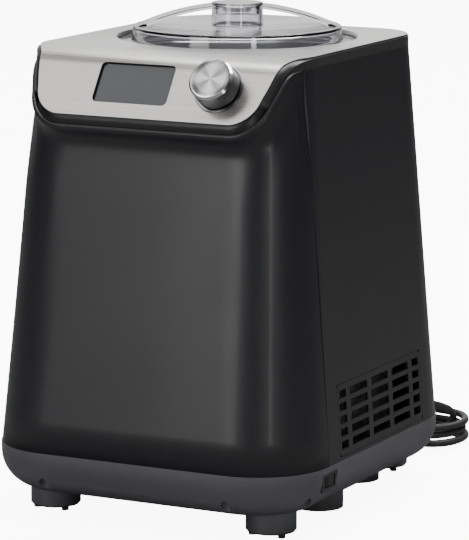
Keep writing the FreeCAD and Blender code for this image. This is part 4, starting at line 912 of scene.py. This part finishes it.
@dataclass
class Outline:
    """A symmetric outline on the developed sheet: bottom corners, a flared waist and back corners."""

    bottom: float
    back: float
    corner: float
    back_corner: float
    waist: Sequence[tuple[float, float]]
    bends: int = 14

    def half_width(self, s: float) -> float:
        """The half width at a developed length.

        Args:
            s: the length.

        Returns:
            The half width there, with the corners rounded.
        """
        half = blend_value(self.waist, s)
        low = s - self.bottom
        if low < self.corner:
            half -= self.corner - math.sqrt(max(0.0, self.corner ** 2 - (self.corner - low) ** 2))
        high = self.back - s
        if high < self.back_corner:
            half -= self.back_corner - math.sqrt(max(0.0, self.back_corner ** 2 - (self.back_corner - high) ** 2))
        return half

    def distance_up(self, x: float, s: float) -> float:
        """How far a place lies inside the bottom edge, round its corners.

        Args:
            x: its distance from the middle.
            s: its developed length.

        Returns:
            The distance.
        """
        level = self.bottom + self.corner
        straight = blend_value(self.waist, self.bottom) - self.corner
        if s < level and x > straight:
            return self.corner - math.hypot(x - straight, level - s)
        return s - self.bottom

    def edge(self, start: float) -> list[tuple[float, float]]:
        """The outline from the right side, round the foot, to the left side.

        Args:
            start: the developed length where it starts and ends.

        Returns:
            Its (x, s) pairs.
        """
        right = [(self.half_width(s), s) for s in reversed(self.rows()) if s <= start]
        right.insert(0, (self.half_width(start), start))
        return right + [(-x, s) for x, s in reversed(right)]

    def rows(self) -> list[float]:
        """The lengths of the grid's rows, close together at the corners and the bend.

        Returns:
            The lengths, from the slope's foot to the back.
        """
        quarter = math.pi / 2
        foot, straight, bends = self.bottom + self.corner, self.back - self.back_corner, self.bends
        lengths = [self.bottom + self.corner * (1 - math.cos(quarter * k / bends)) for k in range(bends + 1)]
        for low, high, steps in ((foot, PANEL.slope_end, 12), (PANEL.slope_end, PANEL.bend_end, 20),
                                 (PANEL.bend_end, straight, 14)):
            lengths += [low + (high - low) * k / steps for k in range(1, steps + 1)]
        lengths += [straight + self.back_corner * math.sin(quarter * k / bends) for k in range(1, bends + 1)]
        return lengths


STEEL_OUTLINE = Outline(0.0, PANEL.length_at(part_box("top_panel")[1][1]), 0.017, 0.041, (
    (0.0, 0.0865), (0.0105, 0.089), (0.0211, 0.0918), (0.032, 0.0948), (0.0425, 0.0972), (0.0510, 0.0994),
    (0.058, 0.1036), (0.066, 0.1082), (0.074, 0.1109)))
FRAME_OUTLINE = Outline(-0.0055, PANEL.length_at(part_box("top_frame")[1][1]), 0.0215, 0.042, (
    (-0.0055, 0.0911), (0.0105, 0.0944), (0.0211, 0.0972), (0.032, 0.1002), (0.0425, 0.1026), (0.0510, 0.1047),
    (0.058, 0.1078), (0.066, 0.1105), (0.074, 0.1119)))


def strip_piece(name: str, outline: Outline, top: Callable[[float], float], under: Callable[[float], float],
                border: float = 0.0, fall: Callable[[float], float] = lambda s: 0.0, columns: int = 40
                ) -> bpy.types.Object:
    """A closed solid that follows the bent sheet inside an outline.

    Args:
        name: the object's name.
        outline: its outline.
        top: depth of the outer face below the steel's outer face, by developed length.
        under: depth of the inner face.
        border: width of the band along the outline that falls away.
        fall: how deep that band falls at the outline, by developed length.
        columns: how many columns the grid has.

    Returns:
        The object.
    """
    rows = outline.rows()
    points: list[Vector] = []
    for depth in (top, under):
        for s in rows:
            half = outline.half_width(s)
            for k in range(columns + 1):
                x = -half * math.cos(math.pi * k / columns)
                inside = min(half - abs(x), outline.distance_up(abs(x), s))
                near = max(0.0, 1.0 - inside / border) if border else 0.0
                points.append(PANEL.along(x, s, depth(s) + fall(s) * near ** 1.6))
    wide = columns + 1
    sheet = len(rows) * wide
    faces = grid_faces(len(rows), columns) + grid_faces(len(rows), columns, sheet)
    rim = [k for k in range(wide)] + [i * wide + columns for i in range(1, len(rows))]
    rim += [(len(rows) - 1) * wide + k for k in range(columns - 1, -1, -1)]
    rim += [i * wide for i in range(len(rows) - 2, 0, -1)]
    for a, b in zip(rim, rim[1:] + rim[:1]):
        faces.append([a, b, b + sheet, a + sheet])
    return piece(name, points, faces)


def plain_cylinder(name: str, radius: float, low: float, high: float, place: Matrix, steps: int = 160
                   ) -> bpy.types.Object:
    """A round cutter."""
    return turned(name, [(0.0, low), (radius, low), (radius, high), (0.0, high)], place, steps)


def rounded_bar(name: str, width: float, height: float, corner: float, low: float, high: float, place: Matrix,
                steps: int = 8) -> bpy.types.Object:
    """A bar of rounded rectangular section along the Z axis of a place.

    Args:
        name: the object's name.
        width: its section along X.
        height: its section along Y.
        corner: the radius of the section's corners.
        low: where it starts on Z.
        high: where it ends on Z.
        place: where it stands.
        steps: segments in each corner.

    Returns:
        The object.
    """
    ring = []
    for cx, cy, start in ((1, 1, 0.0), (-1, 1, 90.0), (-1, -1, 180.0), (1, -1, 270.0)):
        for k in range(steps + 1):
            angle = math.radians(start + 90.0 * k / steps)
            ring.append((cx * (width / 2 - corner) + corner * math.cos(angle),
                         cy * (height / 2 - corner) + corner * math.sin(angle)))
    points = [place @ Vector((x, y, z)) for z in (low, high) for x, y in ring]
    count = len(ring)
    faces = [list(range(count)), list(range(count, 2 * count))]
    return piece(name, points, faces + band_faces(count))


@dataclass
class ControlPanel:
    """The black frame, the steel over it, the display and the knob.

    The frame's edge falls away over its border. The lip's pairs are measured from the well's wall and from
    the deck. A cut reaches as far on both sides of the slope.
    """

    window_x: float = -0.01375
    window_up: float = 0.02795
    window_width: float = 0.0615
    window_height: float = 0.033
    well_radius: float = 0.0918
    steel_gauge: float = 0.0008
    plate: float = 0.005
    band: float = 0.0076
    knob_x: float = 0.0562
    knob_up: float = 0.0275
    border: float = 0.0048
    slope_fall: float = 0.0036
    deck_fall: float = 0.0006
    cut: float = 0.02
    lip: tuple[tuple[float, float], ...] = (
        (0.0020, 0.0), (0.0009, -0.0001), (0.0, -0.0005), (-0.0005, -0.0012), (-0.0006, -0.0032),
        (0.0001, -0.0032), (0.0001, -0.0014), (0.0006, -0.0008), (0.0020, -0.0007))

    def build(self) -> None:
        """Make the panel's pieces."""
        well = Matrix.Translation((0, WELL_Y, 0))
        window = PANEL.matrix(self.window_x, self.window_up)
        self._frame(well, window)
        self._steel(well, window)
        self._display()
        self._knob()

    def _openings(self, well: Matrix, window: Matrix, corner: float, bush: float, steps: int
                  ) -> list[bpy.types.Object]:
        """The cutters of the well, the display's window and the knob's hole.

        Args:
            well: where the well's axis stands.
            window: where the display's middle lies on the slope.
            corner: the radius of the window's corners.
            bush: the radius of the knob's hole.
            steps: how many segments that hole has.

        Returns:
            The three cutters.
        """
        cut = self.cut
        return [plain_cylinder("well_cut", self.well_radius, 0.30, 0.40, well),
                rounded_bar("window_cut", self.window_width, self.window_height, corner, -cut, cut, window),
                plain_cylinder("knob_cut", bush, -cut, cut, PANEL.matrix(self.knob_x, self.knob_up), steps)]

    def _frame(self, well: Matrix, window: Matrix) -> None:
        """Make the black frame with its bowl well.

        Args:
            well: where the well's axis stands.
            window: where the display's middle lies on the slope.
        """
        gauge, slope_end, bend_end = self.steel_gauge, PANEL.slope_end, PANEL.bend_end
        thick = [(slope_end, self.plate), (bend_end, self.band)]
        falls = [(slope_end, self.slope_fall), (bend_end + 0.01, self.deck_fall)]
        slab = strip_piece("frame_moulding", FRAME_OUTLINE, lambda s: gauge,
                           lambda s: gauge + blend_value(thick, s), self.border, lambda s: blend_value(falls, s))
        carve(slab, self._openings(well, window, 0.0012, 0.0048, 48))
        inner, outer, low, high = self.well_radius, 0.0948, 0.3385, 0.350
        wall = turned("well_wall", [(inner, low), (inner, high), (outer, high), (outer, low)], well, 160)
        carve(slab, [wall], join=True)
        soften(slab, 0.0009)
        finish_piece(slab, FRAME_BLACK, "housing", "frame_black", "top_frame")

    def _steel(self, well: Matrix, window: Matrix) -> None:
        """Make the bent steel sheet, with its edge rolled into the well.

        Args:
            well: where the well's axis stands.
            window: where the display's middle lies on the slope.
        """
        sheet = strip_piece("steel_sheet", STEEL_OUTLINE, lambda s: 0.0, lambda s: self.steel_gauge)
        carve(sheet, self._openings(well, window, 0.0040, 0.008, 64))
        lip = [(self.well_radius + out, PANEL.deck + up) for out, up in self.lip]
        carve(sheet, [turned("well_lip", lip, well, 160)], join=True)
        soften(sheet, 0.0002, 2)
        finish_piece(sheet, STEEL_SHEET, "housing", "brushed_steel", "top_panel")

    def _display(self) -> None:
        """The lens in its window."""
        place = PANEL.matrix(self.window_x, self.window_up)
        low, high = -0.0058, -0.0023
        lens = rounded_bar("display_window", self.window_width - 0.0006, self.window_height - 0.0006, 0.0012,
                           low, high, place)
        soften(lens, 0.0005)
        finish_piece(lens, LENS_TINT, "housing", "lens", "display_lens")

    def _knob(self) -> None:
        """The turned knob with its fine side grooves, and the dark ring under it."""
        place = PANEL.matrix(self.knob_x, self.knob_up)
        ring = rounded([(0.008, 0.0), (0.0189, 0.0), (0.0189, 0.0012), (0.008, 0.0012), (0.008, 0.0002)], 0.0005)
        finish_piece(turned("knob_collar", ring, place, 96), DARK_CHROME, "housing", "dark_chrome", "knob_ring")
        base, height, radius = 0.0021, 0.0154, 0.01685
        top = base + height
        grooves, groove_depth = 90, 0.00022

        def flute(r: float, z: float, angle: float) -> float:
            """Fine grooves on the side between the base and the chamfer.

            Args:
                r: the radius without them.
                z: the height.
                angle: the way round.

            Returns:
                The radius with them.
            """
            on_side = abs(r - radius) < 1e-5 and base + 0.002 < z < top - 0.0019
            return r - (groove_depth * (0.5 + 0.5 * math.cos(grooves * angle)) if on_side else 0.0)

        profile = [(0.003, top - 0.0022), (0.003, base + 0.001), (0.0056, base + 0.001), (0.0056, top - 0.003),
                   (radius - 0.003, top - 0.003), (radius - 0.003, base), (radius - 0.0006, base),
                   (radius, base + 0.0006), (radius, base + 0.0019), (radius, base + 0.0021),
                   (radius, top - 0.0020), (radius, top - 0.0016), (radius - 0.0014, top)]
        face = [(radius - 0.0018, top - 0.0001), (radius - 0.0024, top - 0.0004), (0.010, top - 0.0005),
                (0.005, top - 0.0005), (0.0, top - 0.0005), (0.0, top - 0.0022)]
        knob = turned("control_knob", profile + face + [profile[0]], Matrix.Identity(4), grooves * 4, flute)
        knob.matrix_world = place
        # The face's finish paints its highlights as fixed sectors, over a base colour darkened as painted shade.
        finish_piece(knob, SPUN_PAINTED_SECTORS, "knob", "spun_aluminium", "knob")
        knob.data.materials.append(KNURL_DARK.material())
        knob.data.materials.append(BRIGHT_CHAMFER.material())
        side, chamfer = 1, 2
        for polygon in knob.data.polygons:
            reach, level = math.hypot(polygon.center.x, polygon.center.y), polygon.center.z
            if reach > radius - 0.0004 and level < top - 0.0017:
                polygon.material_index = side
            elif reach > radius - 0.0020:
                polygon.material_index = chamfer


# ---------------------------------------------------------------- housing
@dataclass
class Housing:
    """The tapered housing's front shell, which flares out to meet the frame.

    Each rim row, from the outside in, is its offset from the frame, its depth below the slope and its extra
    depth below the deck.
    """

    split_y: float = -0.087
    low_z: float = 0.0528
    high_z: float = 0.3424
    low_half: tuple[float, float] = (0.1329, 0.1487)
    high_half: tuple[float, float] = (0.1119, 0.1205)
    corners: tuple[float, float] = (0.0571, 0.042)
    shift: float = 0.0046
    wall: float = 0.0022
    waist_z: float = 0.245
    deck_drop: float = 0.0087
    waist_pull: float = 0.62
    rim_pull: float = 0.26
    rim_rows: tuple[tuple[float, float, float], ...] = (
        (0.0041, 0.0118, 0.0030), (0.0034, 0.0072, 0.0012), (0.0018, 0.0049, 0.0001), (0.0005, 0.0050, 0.0),
        (-0.0016, 0.0062, 0.0))

    def section(self, z: float, count: int) -> list[Vector]:
        """The front part of the housing's section at a height.

        Args:
            z: the height.
            count: how many equal steps the line is cut into.

        Returns:
            Its points, from the right side of the joint round the front to the left side.
        """
        t = (z - self.low_z) / (self.high_z - self.low_z)
        half_x = self.low_half[0] + (self.high_half[0] - self.low_half[0]) * t
        half_y = self.low_half[1] + (self.high_half[1] - self.low_half[1]) * t
        corner = self.corners[0] + (self.corners[1] - self.corners[0]) * t
        front = self.shift * t - half_y
        line: list[Vector] = []
        if front + corner > self.split_y:
            start = math.asin((front + corner - self.split_y) / corner)
        else:
            start = 0.0
            line.append(Vector((half_x, self.split_y, z)))
        steps = 24
        for k in range(steps + 1):
            angle = start + (math.pi / 2 - start) * k / steps
            across, along = corner * math.cos(angle), corner * math.sin(angle)
            line.append(Vector((half_x - corner + across, front + corner - along, z)))
        line += [Vector((-p.x, p.y, p.z)) for p in reversed(line)]
        return resample(line, count)

    def bib(self, offset: float, slope_depth: float, deck_depth: float, count: int) -> list[Vector]:
        """A line round the frame's foot, from the right side of the joint to the left side.

        Args:
            offset: how far it stands outside the frame.
            slope_depth: how far it lies below the sloping sheet.
            deck_depth: how far it lies below the deck, where it stands as far out as the body's side.
            count: how many equal steps the line is cut into.

        Returns:
            Its points.
        """
        end = PANEL.length_at(self.split_y)
        edge = FRAME_OUTLINE.edge(end)
        line: list[Vector] = []
        for k, (x, s) in enumerate(edge):
            before, after = edge[max(0, k - 1)], edge[min(len(edge) - 1, k + 1)]
            way = Vector((after[0] - before[0], after[1] - before[1]))
            normal = Vector((-way.y, way.x)).normalized()
            near = min(1.0, max(0.0, (end - s) / (end - PANEL.slope_end + 0.004)))
            near = near * near * (3 - 2 * near)
            reach = offset * near
            depth = deck_depth + (slope_depth - deck_depth) * near
            line.append(PANEL.along(x + normal.x * reach, s + normal.y * reach, depth))
        return resample(line, count)

    def build(self) -> None:
        """Make the front shell."""
        columns = 200
        low, waist, high = (self.section(z, columns) for z in (self.low_z, self.waist_z, self.high_z))
        outer, bulge, *inside = [self.bib(offset, slope, self.deck_drop + extra, columns)
                                 for offset, slope, extra in self.rim_rows]
        straight, sweep = 8, 22
        grid = [[a.lerp(b, k / straight) for a, b in zip(low, waist)] for k in range(straight + 1)]
        for i in range(1, sweep + 1):
            t = i / sweep
            row = []
            for start, end, top, crown in zip(waist, outer, high, bulge):
                rise = (top - start).normalized()
                reach = (end - start).length
                first = start + rise * reach * self.waist_pull
                second = end - (crown - end).normalized() * reach * self.rim_pull
                row.append(start * (1 - t) ** 3 + first * 3 * t * (1 - t) ** 2
                           + second * 3 * t ** 2 * (1 - t) + end * t ** 3)
            grid.append(row)
        grid += [[a.lerp(b, 0.5) for a, b in zip(outer, bulge)], bulge, *inside]
        points = [p for row in grid for p in row]
        shell = piece("front_housing", points, grid_faces(len(grid), columns), 75.0)
        thick = shell.modifiers.new("wall", "SOLIDIFY")
        thick.thickness = self.wall
        thick.offset = -1.0
        finish_piece(shell, LACQUER, "housing", "housing", "front_shell")


def resample(line: Sequence[Vector], count: int) -> list[Vector]:
    """A line cut into equal steps.

    Args:
        line: its points.
        count: how many steps.

    Returns:
        The points between the steps.
    """
    lengths = [0.0]
    for a, b in zip(line, line[1:]):
        lengths.append(lengths[-1] + (b - a).length)
    made = []
    i = 0
    for k in range(count + 1):
        want = lengths[-1] * k / count
        while i < len(line) - 2 and lengths[i + 1] < want:
            i += 1
        span = lengths[i + 1] - lengths[i]
        made.append(line[i].lerp(line[i + 1], (want - lengths[i]) / span if span else 0.0))
    return made


# ---------------------------------------------------------------- lid
@dataclass
class Lid:
    """The clear lid with its arch and chute, and the cap in the chute."""

    seat: float = 0.3454
    radius: float = 0.0904
    gauge: float = 0.0024
    deck: float = 0.359
    step: float = 0.080
    chute: float = 0.0194
    chute_wall: float = 0.0022
    arch_half: float = 0.077
    arch_top: float = 0.3756
    arch_width: float = 0.027
    arch_turn: float = 28.0
    cap_gauge: float = 0.0024
    cap_step: float = 0.0008
    cap_gap: float = 0.0003
    chute_top: float = 0.3764
    skirt: float = 0.0747
    skirt_depth: float = 0.008

    def build(self) -> None:
        """Make the lid and its cap."""
        place = Matrix.Translation((0, WELL_Y, 0))
        g, top, skirt = self.gauge, self.chute_top, self.skirt
        hem = self.seat - self.skirt_depth
        outer = rounded([(skirt - g, hem), (skirt, hem), (skirt, self.seat),
                         (self.radius, self.seat), (self.radius, self.seat + g), (self.step, self.seat + g),
                         (self.step - 0.001, self.deck), (self.chute, self.deck), (self.chute, top)], 0.0012)
        seat, bore = self.chute - self.cap_step, self.chute - self.chute_wall
        ledge = top - self.cap_gauge - 0.0001
        inner = rounded([(self.chute, top), (seat, top), (seat, ledge), (bore, ledge), (bore, self.deck - g),
                         (self.step - 0.001 - g, self.deck - g), (self.step - g, self.seat + g),
                         (skirt - g, self.seat + g)], 0.0010)
        shell = turned("lid_moulding", outer + inner[1:], place, 144)
        core = plain_cylinder("chute_core", self.chute - 0.0004, 0.34, 0.40, place, 96)
        arch = carve(self._arch(), [core])
        carve(shell, [arch], join=True)
        soften(shell, 0.0006, 2, 50.0)
        finish_piece(shell, CLEAR_LID, "lid", "clear", "lid")
        low, high = (corner[2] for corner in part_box("filler_cap"))
        flange, plug, inside = seat - self.cap_gap, bore - self.cap_gap, 0.0151
        under = high - self.cap_gauge
        cap = [(0.0, under), (inside, under), (inside, low), (plug, low), (plug, under), (flange, under),
               (flange, high), (0.0, high)]
        finish_piece(turned("chute_cap", rounded(cap, 0.0005), place, 96), CLEAR_LID, "cap", "clear", "filler_cap")

    def _arch(self) -> bpy.types.Object:
        """The bowed bar across the lid.

        Returns:
            The piece, to be joined to the lid.
        """
        place = Matrix.Translation((0, WELL_Y, 0)) @ Matrix.Rotation(math.radians(self.arch_turn), 4, "Z")
        foot = self.deck - 0.0006
        steps = 48

        def bow(half: float, crown: float) -> list[tuple[float, float]]:
            """An arc through two feet and a crown.

            Args:
                half: half the distance between the feet.
                crown: the crown's height.

            Returns:
                Its (x, z) pairs.
            """
            rise = crown - foot
            r = (half ** 2 + rise ** 2) / (2 * rise)
            span = math.asin(half / r)
            turns = [span * (2 * k / steps - 1) for k in range(steps + 1)]
            return [(r * math.sin(turn), crown - r + r * math.cos(turn)) for turn in turns]

        upper = bow(self.arch_half, self.arch_top)
        lower = bow(self.arch_half - 0.007, self.arch_top - self.gauge)
        ring = upper + lower[::-1]
        half = self.arch_width / 2
        points = [place @ Vector((x, y, z)) for y in (-half, half) for x, z in ring]
        count = len(ring)
        faces = band_faces(count)
        for base in (0, count):
            faces += [[base + k, base + k + 1, base + count - 2 - k, base + count - 1 - k] for k in range(steps)]
        return piece("arch_bar", points, faces)


@dataclass
class FrameNodes:
    """The CAD nodes that are shown as they are."""

    edge: float = 0.0007
    softened: tuple[str, ...] = (
        "switch_bezel", "power_rocker", "foot_cups", "vent_grille_right", "vent_grille_left")

    def dress(self) -> None:
        """Give each node its finish, and the outer moulded ones a softened edge."""
        for name, finish in CAD_FINISHES.items():
            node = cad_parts[name]
            dress_node(node, finish)
            if name in self.softened:
                soften(node, self.edge)
            LOG.info("%s keeps its CAD shape", name)


def main() -> None:
    """Build the scene in order."""
    logging.basicConfig(level=logging.INFO, format="%(name)s: %(message)s")
    Studio().build()
    MainsLead().build()
    FrameNodes().dress()
    ControlPanel().build()
    Housing().build()
    Lid().build()


if __name__ == "__main__":
    main()
